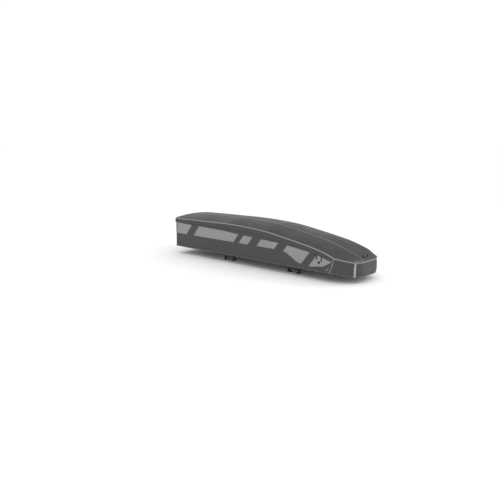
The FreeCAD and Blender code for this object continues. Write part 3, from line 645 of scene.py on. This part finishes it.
def webbing(name, colour):
    """Woven tape: ribs RIB_MM apart, turned by TWILL degrees, crossed by finer yarns. Painted light on the
    rib tops, painted shade in the grooves between them and a little sheen give the look of polyester."""
    material, tree, shader = new_material(name)
    flat = add(tree, "ShaderNodeUVMap", {}, uv_map="cloth").outputs[0]
    turn = (0.0, 0.0, math.radians(TWILL))
    turned = add(tree, "ShaderNodeMapping", {"Vector": flat, "Rotation": turn}).outputs[0]
    pitch = math.pi / (10.0 * RIB_MM * MM)
    rib = add(tree, "ShaderNodeTexWave", {"Vector": turned, "Scale": pitch, "Distortion": 0.2},
              wave_type="BANDS", bands_direction="X").outputs["Fac"]
    yarn = add(tree, "ShaderNodeTexWave", {"Vector": turned, "Scale": pitch * 1.6, "Distortion": 0.4},
               wave_type="BANDS", bands_direction="Y").outputs["Fac"]
    height = add(tree, "ShaderNodeMath", {0: rib, 1: yarn}, operation="ADD").outputs[0]
    # Painted light and shade: the rib tops are painted paler and the grooves between them darker.
    tone = add(tree, "ShaderNodeMix", {0: rib, 6: scaled(colour, 0.7), 7: scaled(colour, 1.25)},
               data_type="RGBA").outputs[2]
    ribs = add(tree, "ShaderNodeBump", {"Height": height, "Strength": 0.5, "Distance": 0.6 * MM}).outputs[0]
    set_inputs(tree, shader, {"Base Color": tone, "Normal": ribs, "Roughness": 0.75, "Sheen Weight": 0.2})
    return material


GREY_TAPE = webbing("binding tape, dark grey", "4a4a4b")
binding_plan = plan_line(WALL_IN - 0.5 * MM, CORD_STEP, level=0.0)
binding_path = np.column_stack([binding_plan, floor_height(binding_plan[:, 0]) + BINDING_MID])
binding = tube("bottom_binding", binding_path, flat_section(BINDING_T, BINDING_H), "box", GREY_TAPE,
               closed=True)
binding_way = unit(np.roll(binding_plan, -1, 0) - np.roll(binding_plan, 1, 0))
binding_out = joined(binding_way[:, 1], -binding_way[:, 0], 0.0)
stitches("binding_stitching", [(binding_path + binding_out * 0.7 * MM, binding_out)], "box")


# Storm flap
# A double layer of coated cloth hangs over the zip from the piping, with a stitched hem. It is deeper
# on the side than round the nose, and bulges a little over the zip.
FLAP_T, FLAP_DROP, NOSE_FLAP_DROP = 1.2 * MM, 36.0 * MM, 26.0 * MM
FLAP_END_Y = 0.084
FLAP_REAR_END_Y = 0.218
FLAP_STEP_X, FLAP_STEP_L = 0.735, 0.060
FLAP_HEM, HEM_T = 0.76, 0.5 * MM
FLAP_BULGE, NOSE_BULGE, NOSE_TUCK = 1.6 * MM, 0.4 * MM, 2.6 * MM
FLAP_CLOTH = cloth("coated polyester, flap", "4b4b4c", 0.60, shine=0.2)


def zip_side(line, spans, end_y, end_x):
    """Part of an outline: from the rear's hinge end along the zip side to the nose, and on to end_y there,
    or round it to end_x on the hinge side."""
    rear = line[spans[7][1]:]
    rear = rear[rear[:, 1] < FLAP_REAR_END_Y]
    side = line[:spans[4][0]]
    if end_x is None:
        return np.concatenate([rear, side[(side[:, 0] < 0) | (side[:, 1] < end_y)], [[side[-1, 0], end_y]]])
    hinge = line[spans[4][0]:spans[7][0]]
    return np.concatenate([rear, side, hinge[hinge[:, 0] > end_x]])


flap_outline, flap_spans = outline(0.0, LID_LEVEL, FINE_STEP)
flap_line = zip_side(flap_outline[0], flap_spans, FLAP_END_Y, None)
flap_run = run_of(flap_line)
flap_way = unit(np.gradient(flap_line, axis=0))


def flap_normal(run):
    """Outward direction of the flap at a distance along it."""
    way = at_run(run, flap_run, flap_way)
    return joined(way[..., 1], -way[..., 0], 0.0)


def nose_share(x):
    """0 along the side and 1 round the nose, where the flap is shallower."""
    return np.clip((x - FLAP_STEP_X) / FLAP_STEP_L, 0, 1)


def flap_at(run, share, lift):
    """Points of the flap at a distance along it and a share of its depth, lifted off its outer face.

    It bulges over the zip, waves by 0.9 mm at the hem and is thicker there. Round the nose it lies
    flatter, with its hem tucked further in."""
    run, share = np.broadcast_arrays(run, share)
    x, y = np.moveaxis(at_run(run, flap_run, flap_line), -1, 0)
    t = nose_share(x)
    depth = FLAP_DROP + (NOSE_FLAP_DROP - FLAP_DROP) * smooth_step(t, 0, 1)
    arch = np.sin(np.pi * np.clip(share * 1.1, 0, 1)) ** 1.5
    bulge = (FLAP_BULGE + (NOSE_BULGE - FLAP_BULGE) * t) * arch - NOSE_TUCK * t * share
    ripple = (0.9 - 0.5 * t) * MM * share ** 2 * waves(run, 3 * share, 61, 0.16)
    ripple = ripple + 0.25 * MM * share * np.sin(2 * np.pi * run / 0.035)
    hem = HEM_T / (1.0 + np.exp(-(share - FLAP_HEM + 0.02) / 0.015))
    flat = joined(x, y, lid_height(x, y) - LID_T - (depth - LID_T) * share)
    return flat + flap_normal(run) * (lift + bulge + ripple + hem)[..., None]


flap_share = np.linspace(0, 1, 20)[:, None]
flap = slab("storm_flap_cloth", flap_at(flap_run, flap_share, 0.0), flap_at(flap_run, flap_share, -FLAP_T),
            joined(flap_run, -FLAP_DROP * flap_share), "lid", FLAP_CLOTH)
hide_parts("storm_flap")
hem_run = np.arange(6.0 * MM, flap_run[-1] - 6.0 * MM, 4.0 * MM)
flap_rows = [(flap_at(hem_run, share, 0.1 * MM), flap_normal(hem_run)) for share in (FLAP_HEM, 0.10)]
stitches("flap_stitching", flap_rows, "lid")


# Side bands
# Pale grey panels sewn flat on each side wall, tapering towards the nose, with slanted gaps between
# them. Their edges are turned under and stitched.
BAND_TOP = np.array([(-918, 221), (-796, 215), (-358, 207), (-173, 195), (316, 172), (587, 140),
                     (766, 94)]) * MM
BAND_LOW = np.array([(-918, 121), (194, 121), (330, 112), (452, 45), (579, 31), (692, 51), (766, 94)]) * MM
BAND_GAPS = np.array([(-752, 92), (-196, 60), (-18, 96), (262, 96), (584, 76)]) * MM
BAND_MID_Z, BAND_SLANT = 0.120, 0.78
WALL_Y = HALF_W - WALL_IN
BAND_T, BAND_STAND = 0.9 * MM, 0.5 * MM
BAND_ROW = 3.5 * MM
BAND_CLOTH = cloth("coated polyester, pale band", "929293", 0.60, mottle=0.07)


def band_point(left, right, u, v):
    """x and z of a panel's point at share u between its slanted ends and v between its long edges, and the
    panel's height there. The ends lean with z, so x and z are found together by turns."""
    z = BAND_MID_Z + 0 * (u + v)
    for _ in range(16):
        lean = BAND_SLANT * (z - BAND_MID_Z)
        x0 = np.maximum(left + lean, BAND_TOP[0, 0])
        x1 = np.minimum(right + lean, BAND_TOP[-1, 0] - 1.0 * MM)
        x = x0 + (x1 - x0) * u
        low = np.interp(x, BAND_LOW[:, 0], BAND_LOW[:, 1])
        high = np.interp(x, BAND_TOP[:, 0], BAND_TOP[:, 1])
        z = low + (high - low) * v
    return x, z, high - low


def band_panel(side, index, left, right, node):
    """Makes one panel, and returns the four rows of stitches along its edges."""
    u = np.linspace(0, 1, max(8, int((right - left) / 0.008)))[None, :]
    v = np.linspace(0, 1, 20)[:, None]
    x, z, tall = band_point(left, right, u, v)
    edge = np.minimum(np.minimum(u, 1 - u) * (right - left), np.minimum(v, 1 - v) * tall)
    raised = BAND_T * (1 - 0.7 * np.exp(-edge / 0.0015)) - 0.4 * MM * bell(edge, BAND_ROW, 1.5 * MM)
    raised = raised + 0.3 * MM * waves(x, z, 70 + index, 0.05)
    panel = slab("band_%s_%d" % (SIDE_NAMES[side], index),
                 joined(x, side * (WALL_Y + BAND_STAND + raised), z),
                 joined(x, side * (WALL_Y - 1.0 * MM), z), joined(x, z), "box", BAND_CLOTH)
    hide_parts(node)
    du, dv = BAND_ROW / (right - left), BAND_ROW / np.maximum(tall.max(), 0.02)
    run = np.linspace(0, 1, 60)
    rows = []
    for us, vs in ((run, 0.0), (run, 1.0), (0.0, run), (1.0, run)):
        x, z, _ = band_point(left, right, du + (1 - 2 * du) * us, dv + (1 - 2 * dv) * vs)
        rows.append((joined(x, side * (WALL_Y + BAND_STAND + BAND_T + 0.05 * MM), z), (0.0, side, 0.0)))
    return rows


def side_band(side, node):
    """All the panels of one side's band, with their stitching."""
    lefts = [BAND_TOP[0, 0] - 0.08, *(BAND_GAPS[:, 0] + BAND_GAPS[:, 1] / 2)]
    rights = [*(BAND_GAPS[:, 0] - BAND_GAPS[:, 1] / 2), BAND_TOP[-1, 0] + 0.03]
    rows = []
    for index, (left, right) in enumerate(zip(lefts, rights)):
        rows += band_panel(side, index, left, right, node)
    stitches("band_stitching_" + node, rows, "box")


side_band(-1, "near_band")
side_band(1, "far_band")


# Corner seams and nose strips
# The nose piece joins the sides at a slanted seam with a thin cord in it, which goes on over the
# flap to the piping. Two light strips run down the nose from the lid's edge to the floor.
SEAM_FOOT_X = 0.745
CORD_R, CORD_STAND = 2.2 * MM, 0.9 * MM
STRIP_Y, STRIP_W, STRIP_T = 0.158, 13.0 * MM, 1.6 * MM
STRIP_TURN = 0.77
ALONG_Y = (0.0, 1.0, 0.0)
STRIP_CLOTH = cloth("reflective tape, pale grey", "a9a9aa", 0.45, thread_mm=1.8, mottle=0.04)


def corner_cord(side, gap):
    """The cord on one side wall, from the floor's edge up over the binding to a gap below the lid's edge.

    It stands out on the zip side and is sunk into the rounder corner on the hinge side."""
    top = 0.120
    for _ in range(6):
        top = float(lid_height(np.array(SEAM_FOOT_X + LEAN * top), HALF_W)) - gap
    z = np.linspace(1.5 * MM, top, 26)
    path = joined(SEAM_FOOT_X + LEAN * z, side * WALL_Y - CORD_STAND, z)
    cord = tube("corner_cord_" + SIDE_NAMES[side], path, circle(CORD_R, 8), "box", PIPING_TAPE, up=ALONG_Y)
    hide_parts("corner_cords")


def run_at_x(x):
    """Distance along the flap at which its zip side reaches x."""
    side = (flap_line[:, 1] < -HALF_W + 1.0 * MM) & (flap_line[:, 0] > -0.9)
    return np.interp(x, flap_line[side, 0], flap_run[side])


corner_cord(-1, 28.5 * MM)
corner_cord(1, 9.0 * MM)
cord_share = np.linspace(0.04, 0.98, 12)
cord_z = flap_at(run_at_x(0.780), cord_share, 0.0)[:, 2]
flap_cord = tube("flap_seam_cord", flap_at(run_at_x(SEAM_FOOT_X + LEAN * cord_z), cord_share, 0.7 * MM),
                 circle(CORD_R * 0.9, 8), "lid", PIPING_TAPE, up=ALONG_Y)


def nose_strip(side, gap):
    """A strip on the nose wall: its points lie on the wall's outline at the strip's place across.

    The wall is turned there, so its width across is STRIP_TURN times its width along the wall."""
    share = np.linspace(0, 1, 14)
    y = side * STRIP_Y + np.linspace(-0.5, 0.5, 5) * STRIP_W * STRIP_TURN
    faces = []
    for inset in (WALL_IN - STRIP_T, WALL_IN + 0.8 * MM):
        plan = plan_line(inset, FINE_STEP)
        nose = plan[plan[:, 0] > 0.82]
        order = np.argsort(nose[:, 1])
        x = np.interp(y, nose[order, 1], nose[order, 0])
        way = np.gradient(x, y)
        low, high = floor_height(x) + 1.0 * MM, lid_height(x, y) - gap
        z = low + (high - low) * share[:, None]
        out = nose_swell(x, z, y) / np.hypot(1.0, way)
        faces.append(joined(x + out, y - out * way, z))
    strip = slab("nose_strip_" + SIDE_NAMES[side], *faces, faces[0][..., 1:], "box", STRIP_CLOTH)
    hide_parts("nose_strips")


nose_strip(-1, 26.2 * MM)
nose_strip(1, 24.0 * MM)
wall_nose = plan_line(WALL_IN, FINE_STEP, level=0.9 * LID_LEVEL)
wall_nose = wall_nose[(wall_nose[:, 0] > 0.85) & (wall_nose[:, 1] < 0)]
strip_place = wall_nose[np.argmin(np.abs(wall_nose[:, 1] + STRIP_Y))]
strip_run = (flap_run[np.argmin(np.linalg.norm(flap_line - strip_place, axis=1))]
             + np.linspace(-0.5, 0.5, 5) * STRIP_W)
strip_share = np.linspace(0.04, 1.0, 14)[:, None]
flap_strip = slab("flap_strip", flap_at(strip_run, strip_share, 0.6 * MM),
                  flap_at(strip_run, strip_share, -0.2 * MM), joined(strip_run, strip_share * 0.02),
                  "lid", STRIP_CLOTH)


# Zip
# Two tapes with a nylon coil along their facing edges. The lower one is sewn to the walls, the upper
# one to the lid behind the flap. The coil's turns are drawn 3 mm apart, twice the real pitch.
ZIP_DEPTH, ZIP_TAPE_W, ZIP_TAPE_T = 17.0 * MM, 11.0 * MM, 1.0 * MM
CLEAR = 0.3 * MM
PARTING = LID_T + ZIP_DEPTH
HINGE_END_X = 0.290
COIL_R, COIL_PITCH = 1.1 * MM, 3.0 * MM
# The tape is a dull, fine weave, and the coil is smoother and catches small highlights.
ZIP_TAPE = cloth("zip tape, black", "1f2022", 0.7, thread_mm=1.4)
COIL = plain("nylon coil, black", "17181a", 0.4, grain_mm=0.5)


def zip_tape(name, inset, ends, drops, coil_drop, body, node):
    """One tape between two drops below the lid's top, and the coil along its edge.

    Round the nose, under the shallower part of the flap, the tape's far edge ends at the flap's hem."""
    faces = []
    share = np.linspace(0, 1, 5)[:, None]
    for inner in (inset, inset + ZIP_TAPE_T):
        plan, spans = outline(inner, LID_LEVEL, FINE_STEP)
        x, y = zip_side(plan[0], spans, *ends).T
        far_drop = drops[1] + (min(drops[1], NOSE_FLAP_DROP) - drops[1]) * nose_share(x)
        faces.append(joined(x, y, lid_height(x, y) - drops[0] - (far_drop - drops[0]) * share))
    count = min(faces[0].shape[1], faces[1].shape[1])
    faces = [face[:, :count] for face in faces]
    line = faces[0][0, :, :2]
    run = run_of(line)
    tape = slab(name, *faces, joined(run, (drops[1] - drops[0]) * share), body, ZIP_TAPE)
    even = np.arange(0, run[-1], COIL_PITCH / 4)
    x, y = at_run(even, run, line).T
    turns = 1.0 + 0.28 * np.sin(2 * np.pi * even / COIL_PITCH)
    coil = tube(name + "_coil", joined(x, y, lid_height(x, y) - coil_drop),
                circle(COIL_R, 6) * turns[:, None, None], body, COIL)
    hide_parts(node)


zip_tape("zip_lower", WALL_IN - ZIP_TAPE_T, (None, HINGE_END_X), (PARTING, PARTING + ZIP_TAPE_W),
         PARTING + 0.8 * MM, "box", "lower_zip")
zip_tape("zip_upper", WALL_IN - ZIP_TAPE_T - CLEAR, (FLAP_END_Y, None), (LID_T, PARTING - CLEAR),
         PARTING - 1.2 * MM, "lid", "upper_zip")


# Fabric hinge
# A cloth tape joins the lid to the hinge side wall in short lengths, end to end along the curved edge.
# Each leans out a little between the wall and the lid.
HINGE_X0 = -0.922
HINGE_LOW, HINGE_TALL = 18.0 * MM, 13.0 * MM
HINGE_LEAN, HINGE_T = 2.6 * MM, 1.1 * MM
HINGE_LENGTHS = 12


def hinge_length(index, x0, x1):
    """One length of tape: it leans out a little with height, and its bend is square to the edge there."""
    x = np.linspace(x0, x1, 21)
    t = np.linspace(0, 1, 16)[:, None]
    z = lid_height(x, HALF_W) - HINGE_LOW + HINGE_TALL * t
    y = WALL_Y + 1.2 * MM + HINGE_LEAN * t ** 2 + 0.3 * MM * waves(x, t, 81, 0.1)
    front = joined(x, y, z)
    tape = slab("hinge_tape_cloth_%d" % index, front, front - [0.0, HINGE_T, 0.0],
                joined(x, HINGE_TALL * t), None, WALL_CLOTH)
    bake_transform(tape)
    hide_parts("hinge_tape")


hinge_ends = np.linspace(HINGE_X0, HINGE_END_X, HINGE_LENGTHS + 1).tolist()
for number in range(HINGE_LENGTHS):
    hinge_length(number, hinge_ends[number], hinge_ends[number + 1])


# Lid bows
# Four glass fibre rods hold the lid's crown. Each lies in a cloth sleeve sewn under the lid, with its
# ends showing.
BOW_R, BOW_GAP, BOW_HALF = 2.8 * MM, 0.3 * MM, 0.222
SLEEVE_W, SLEEVE_T, SLEEVE_HALF = 30.0 * MM, 0.9 * MM, 0.205
POUCH_W, POUCH_H = 4.6 * MM, 6.6 * MM
ALONG_X = (1.0, 0.0, 0.0)
# The rods are pale straw, cloudy and half glossy from their resin.
GLASS_ROD = plain("glass fibre rod", "c9c6b0", 0.35, grain_mm=1.5)


def bow(x):
    """One rod and its sleeve, which follow the underside of the lid."""
    y = np.linspace(-BOW_HALF, BOW_HALF, 60)
    rod = tube("lid_bow_%d" % round(x / MM), joined(x, y, lid_height(x, y) - LID_T - BOW_R - BOW_GAP),
               circle(BOW_R, 10), "lid", GLASS_ROD, across=ALONG_X)
    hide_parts("lid_bows")
    off, y = np.linspace(-0.5, 0.5, 25)[:, None] * SLEEVE_W, np.linspace(-SLEEVE_HALF, SLEEVE_HALF, 90)
    under = lid_height(x + off, y) - LID_T
    pouch = POUCH_H * np.exp(-(off / POUCH_W) ** 4) + 0.3 * MM * waves(x + off, y, 91, 0.04)
    sleeve = slab("bow_sleeve_%d" % round(x / MM), joined(x + off, y, under - 0.1 * MM),
                  joined(x + off, y, under - SLEEVE_T - pouch), joined(x + off, y), "lid", LID_CLOTH)


for place in BOWS:
    bow(float(place))


# Lid tabs and pull loops
# Two folded webbing tabs stand up near the front of the lid. A flat loop of pale webbing is sewn low
# on each side wall by the corner seam.
TAB_PLACES = ((0.874, 0.027), (0.872, 0.089))
TAB_W, TAB_T, TAB_FOOT, TAB_H = 12.0 * MM, 1.5 * MM, 13.0 * MM, 13.0 * MM
LOOP_X, LOOP_Z, LOOP_LEAN = 0.728, 0.034, 44.0
LOOP_L, LOOP_W, LOOP_T, LOOP_BACK = 34.0 * MM, 6.5 * MM, 1.2 * MM, 13.0 * MM
BLACK_WEBBING = webbing("polyester webbing, black", "232426")
PALE_WEBBING = webbing("polyester webbing, pale grey", "8a8a8b")


def lid_tab(index, x, y):
    """A folded tab: foot, rise, fold, fall and foot, in a line across the lid."""
    fall = [(1.0 * MM, TAB_H), (1.2 * MM, 0.8 * MM), (TAB_FOOT, 0.8 * MM)]
    line = [(-across, rise) for across, rise in reversed(fall)] + fall
    over, up = soft_path(line, [2.0 * MM, 0.9 * MM, 0.9 * MM, 2.0 * MM], 0.5 * MM).T
    tab = tube("lid_tab_%d" % index, joined(x, y + over, lid_top(x, y + over) + up),
               flat_section(TAB_W, TAB_T), "lid", BLACK_WEBBING, across=ALONG_X)
    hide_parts("lid_tabs")


def pull_loop(side):
    """A loop of webbing laid back on itself, with its fold at the upper end."""
    end = LOOP_L / 2
    line = [(-end, 0.8 * MM), (end - 3.0 * MM, 0.9 * MM), (end, 2.6 * MM), (end - 3.0 * MM, 4.4 * MM),
            (end - LOOP_BACK, 2.4 * MM)]
    along, out = soft_path(line, [2.5 * MM, 1.8 * MM, 2.5 * MM], 0.6 * MM).T
    sine, cosine = math.sin(math.radians(LOOP_LEAN)), math.cos(math.radians(LOOP_LEAN))
    path = joined(LOOP_X + along * sine, side * (WALL_Y + out), LOOP_Z + along * cosine)
    loop = tube("pull_loop_" + SIDE_NAMES[side], path, flat_section(LOOP_W, LOOP_T), "box", PALE_WEBBING,
                across=(cosine, 0.0, -sine))
    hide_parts("pull_loops")


for number, (tab_x, tab_y) in enumerate(TAB_PLACES):
    lid_tab(number, tab_x, tab_y)
pull_loop(-1)
pull_loop(1)


# Floor boards
# Black twin-wall plastic boards lie on the floor cloth, hinged to each other by strips of tape so
# that the box can be folded. Their inner ribs show as fine lines along the board.
FLOOR_TOP = 7.5 * MM
FOLDS, NOSE_FOLD = (-0.330, 0.290), 0.740
FOLD_SPANS = ((-0.232, -0.184), (-0.116, 0.116), (0.184, 0.232))
FOLD_TAPE_W, FOLD_TAPE_T = 44.0 * MM, 0.7 * MM
BOARD_RIB_MM = 5.0


def ribbed_board(name, colour):
    """Twin-wall plastic: ribs BOARD_RIB_MM apart along the board as a low bump, in a scuffed tone."""
    material, tree, shader = new_material(name)
    place = add(tree, "ShaderNodeTexCoord", {}).outputs["Object"]
    ribs = add(tree, "ShaderNodeTexWave", {"Vector": place, "Scale": math.pi / (10.0 * BOARD_RIB_MM * MM)},
               wave_type="BANDS", bands_direction="Y").outputs["Fac"]
    scuff = add(tree, "ShaderNodeTexNoise", {"Vector": place, "Scale": 30.0, "Detail": 6.0}).outputs["Fac"]
    tone = add(tree, "ShaderNodeMix", {0: scuff, 6: scaled(colour, 0.85), 7: scaled(colour, 1.3)},
               data_type="RGBA").outputs[2]
    low = add(tree, "ShaderNodeBump", {"Height": ribs, "Strength": 0.35, "Distance": 0.5 * MM}).outputs[0]
    set_inputs(tree, shader, {"Base Color": tone, "Normal": low, "Roughness": 0.5})
    return material


def dress(nodes, material, bevel_mm=0.0):
    """Gives CAD nodes a finish and, where it is stated, a small rounded edge."""
    for node in nodes:
        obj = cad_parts[node]
        for place in obj.material_slots:
            place.material = material
        if bevel_mm:
            edge = obj.modifiers.new("worn edge", "BEVEL")
            edge.width = bevel_mm * MM
            edge.segments = 2
            edge.limit_method = "ANGLE"
            edge.angle_limit = math.radians(50.0)


BOARD = ribbed_board("twin-wall board, black", "2b2c2e")
dress(["nose_board"] + ["floor_board_" + part for part in ("rear", "middle", "front")], BOARD)


def fold_tape(name, x, y0, y1):
    """A strip of cloth tape over a fold line, pressed in where the boards meet."""
    across, y = x + np.linspace(-0.5, 0.5, 9)[:, None] * FOLD_TAPE_W, np.linspace(y0, y1, 40)
    base = FLOOR_TOP + floor_height(across)
    lift = FOLD_TAPE_T * (1.0 - bell(across, x, 3.0 * MM) * 0.6) + 0.1 * MM * waves(across, y, 95, 0.03)
    tape = slab(name, joined(across, y, base + lift), joined(across, y, base - 0.2 * MM), joined(across, y),
                "box", BLACK_WEBBING)


for fold_x in FOLDS:
    for low_y, high_y in FOLD_SPANS:
        fold_tape("fold_tape_%d_%d" % (round(fold_x / MM), round(low_y / MM)), fold_x, low_y, high_y)
fold_tape("fold_tape_nose", NOSE_FOLD, -0.222, 0.222)


# Rails and rivets
# Two zinc plated hat rails stiffen the floor over the clamps, riveted to the boards through their
# flanges. Each rivet has a low domed head 9 mm across.
RAIL_Y, RAIL_FLANGE_TOP = 0.150, 9.5 * MM
RIVET_X = (-0.850, -0.640, -0.470, -0.210, 0.0, 0.200, 0.480, 0.660)
RIVET_R, RIVET_H, RIVET_OUT = 4.5 * MM, 1.8 * MM, 23.5 * MM
RIVET_SIDES = 14
CLAMPS = ("rear_near", "rear_far", "front_near", "front_far")
# Zinc plate shows crystals of slightly different greys under soft highlights.
ZINC = plain("zinc plate", "b4b8ba", 0.38, metal=1.0, grain_mm=0.8, mottle=0.12, spangle=True)
dress(["rail_near", "rail_far", "washers", "strap_anchors"], ZINC, 0.3)
dress(["draw_nut_" + clamp for clamp in CLAMPS], ZINC, 0.5)


def rivets(name, places, z):
    """Domed heads at plan places: rings whose height rises to the dome's top as their radius shrinks."""
    a = np.linspace(0, 2 * np.pi, RIVET_SIDES, endpoint=False)
    share = np.array([1.0, 1.0, 0.85, 0.55, 0.2])
    height = np.array([0.0, 0.3, 0.68, 0.93, 1.0])
    cap = joined(RIVET_R * share[:, None] * np.cos(a), RIVET_R * share[:, None] * np.sin(a),
                 z + RIVET_H * height[:, None]).reshape(-1, 3)
    size = len(cap)
    faces = grid_faces(len(share), RIVET_SIDES, around=True).tolist()
    faces += [list(range(RIVET_SIDES)), list(range(size - RIVET_SIDES, size))]
    points = np.concatenate([cap + [x, y, 0.0] for x, y in places])
    every = [[v + size * k for v in face] for k in range(len(places)) for face in faces]
    heads = make_piece(name, points, every, points[:, :2], "box", ZINC)


rivets("rail_rivets", [(x, side * RAIL_Y + out) for side in (-1, 1) for x in RIVET_X
                       for out in (-RIVET_OUT, RIVET_OUT)], RAIL_FLANGE_TOP)


# Load straps
# Two flat polyester straps cross the floor over the rails and come down to riveted anchors at each
# side. Each ends in a short free tail that lies on the strap beyond its buckle.
STRAP_X = (-0.560, 0.120)
RAIL_TOP = 19.5 * MM
STRAP_W, STRAP_T = 25.0 * MM, 1.6 * MM
STRAP_TURN_Y, ANCHOR_Y, ANCHOR_T = 0.186, 0.212, 2.0 * MM
SEWN_HALF, SEWN_ROWS = 6.0 * MM, (-8.0 * MM, -3.0 * MM, 3.0 * MM, 8.0 * MM)
TAIL_Y0, TAIL_Y1, TAIL_SWAY, TAIL_LIFT = -0.030, 0.095, 1.8 * MM, 2.4 * MM
# A die casting is a darker grey than plate, with blurred highlights.
DIE_CAST = plain("zinc die casting", "8f9294", 0.42, metal=1.0, grain_mm=0.7)


def strap(name, x, node):
    """One strap, its sewn ends and its tail."""
    low, high = FLOOR_TOP + ANCHOR_T + STRAP_T / 2, RAIL_TOP + STRAP_T / 2
    bends = [(ANCHOR_Y + SEWN_HALF, low), (ANCHOR_Y - SEWN_HALF, low), (STRAP_TURN_Y, high)]
    corners = [(x, -y, z) for y, z in bends] + [(x, y, z) for y, z in reversed(bends)]
    band = tube(name, soft_path(corners, [4.0 * MM] * 4, 3.0 * MM), flat_section(STRAP_W, STRAP_T), "box",
                BLACK_WEBBING, across=ALONG_X)
    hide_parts(node)
    t = np.linspace(0, 1, 60)
    loose = joined(x + TAIL_SWAY * np.sin(6.0 * t), TAIL_Y0 + (TAIL_Y1 - TAIL_Y0) * t,
                   high + STRAP_T + 0.6 * MM + TAIL_LIFT * np.sin(np.pi * t) ** 2)
    tail = tube(name + "_tail", loose, flat_section(STRAP_W - 0.6 * MM, STRAP_T * 0.9), "box",
                BLACK_WEBBING, across=ALONG_X)
    y = np.linspace(ANCHOR_Y - 5.0 * MM, ANCHOR_Y + 5.5 * MM, 8)
    rows = [(joined(x + across, side * y, low + STRAP_T / 2 + 0.1 * MM), UP)
            for side in (-1, 1) for across in SEWN_ROWS]
    stitches(name + "_stitching", rows, "box")


strap("load_strap_rear_webbing", STRAP_X[0], "load_strap_rear")
strap("load_strap_front_webbing", STRAP_X[1], "load_strap_front")
dress([kind + end for kind in ("buckle_", "buckle_lever_") for end in ("rear", "front")], DIE_CAST, 0.6)


# Zip sliders, pulls and lock
# Enamelled sliders, black and smooth with clear highlights, carry dull moulded rubber pulls under the
# flap. The small round key lock on the side wall is black nickel, a dark and slightly worn mirror.
ENAMEL = plain("black enamel", "1c1d1f", 0.32, depth=0.05)
PULL_RUBBER = plain("moulded rubber", "1d1e20", 0.65, grain_mm=0.6)
BLACK_NICKEL = plain("black nickel", "35363a", 0.3, metal=1.0, grain_mm=0.6, depth=0.05)
dress(["slider_rear", "slider_front"], ENAMEL, 0.4)
dress(["pull_rear", "pull_front"], PULL_RUBBER, 0.3)
dress(["lock_housing", "lock_barrel"], BLACK_NICKEL, 0.5)


# Floor cloth and clamps
# Under the floor each clamp has a powder coated frame with dull rubber pads on it and two claws on
# shining steel pins. Its lobed nylon knob inside the box has a fine pebbled skin, as powder coat has,
# and the coated floor cloth is dull and coarser.
POWDER_COAT = plain("black powder coat", "222325", 0.5, grain_mm=0.9, depth=0.25)
TURNED_STEEL = plain("turned steel", "a8a9aa", 0.3, metal=1.0, grain_mm=0.5)
PAD_RUBBER = plain("black rubber", "1a1b1c", 0.8, grain_mm=0.8, depth=0.3)
NYLON = plain("black nylon", "202123", 0.5, grain_mm=0.7, depth=0.3)
FLOOR_CLOTH = plain("coated floor cloth", "303133", 0.6, grain_mm=1.2, depth=0.3)
dress(["floor_cloth"], FLOOR_CLOTH)
dress(["clamp_frames"], POWDER_COAT, 0.8)
dress(["claw_%s_%s" % (end, clamp) for end in ("front", "rear") for clamp in CLAMPS], POWDER_COAT, 0.6)
dress(["clamp_pads"], PAD_RUBBER, 0.6)
dress(["claw_pins"], TURNED_STEEL, 0.3)
dress(["knob_" + clamp for clamp in CLAMPS], NYLON, 1.5)
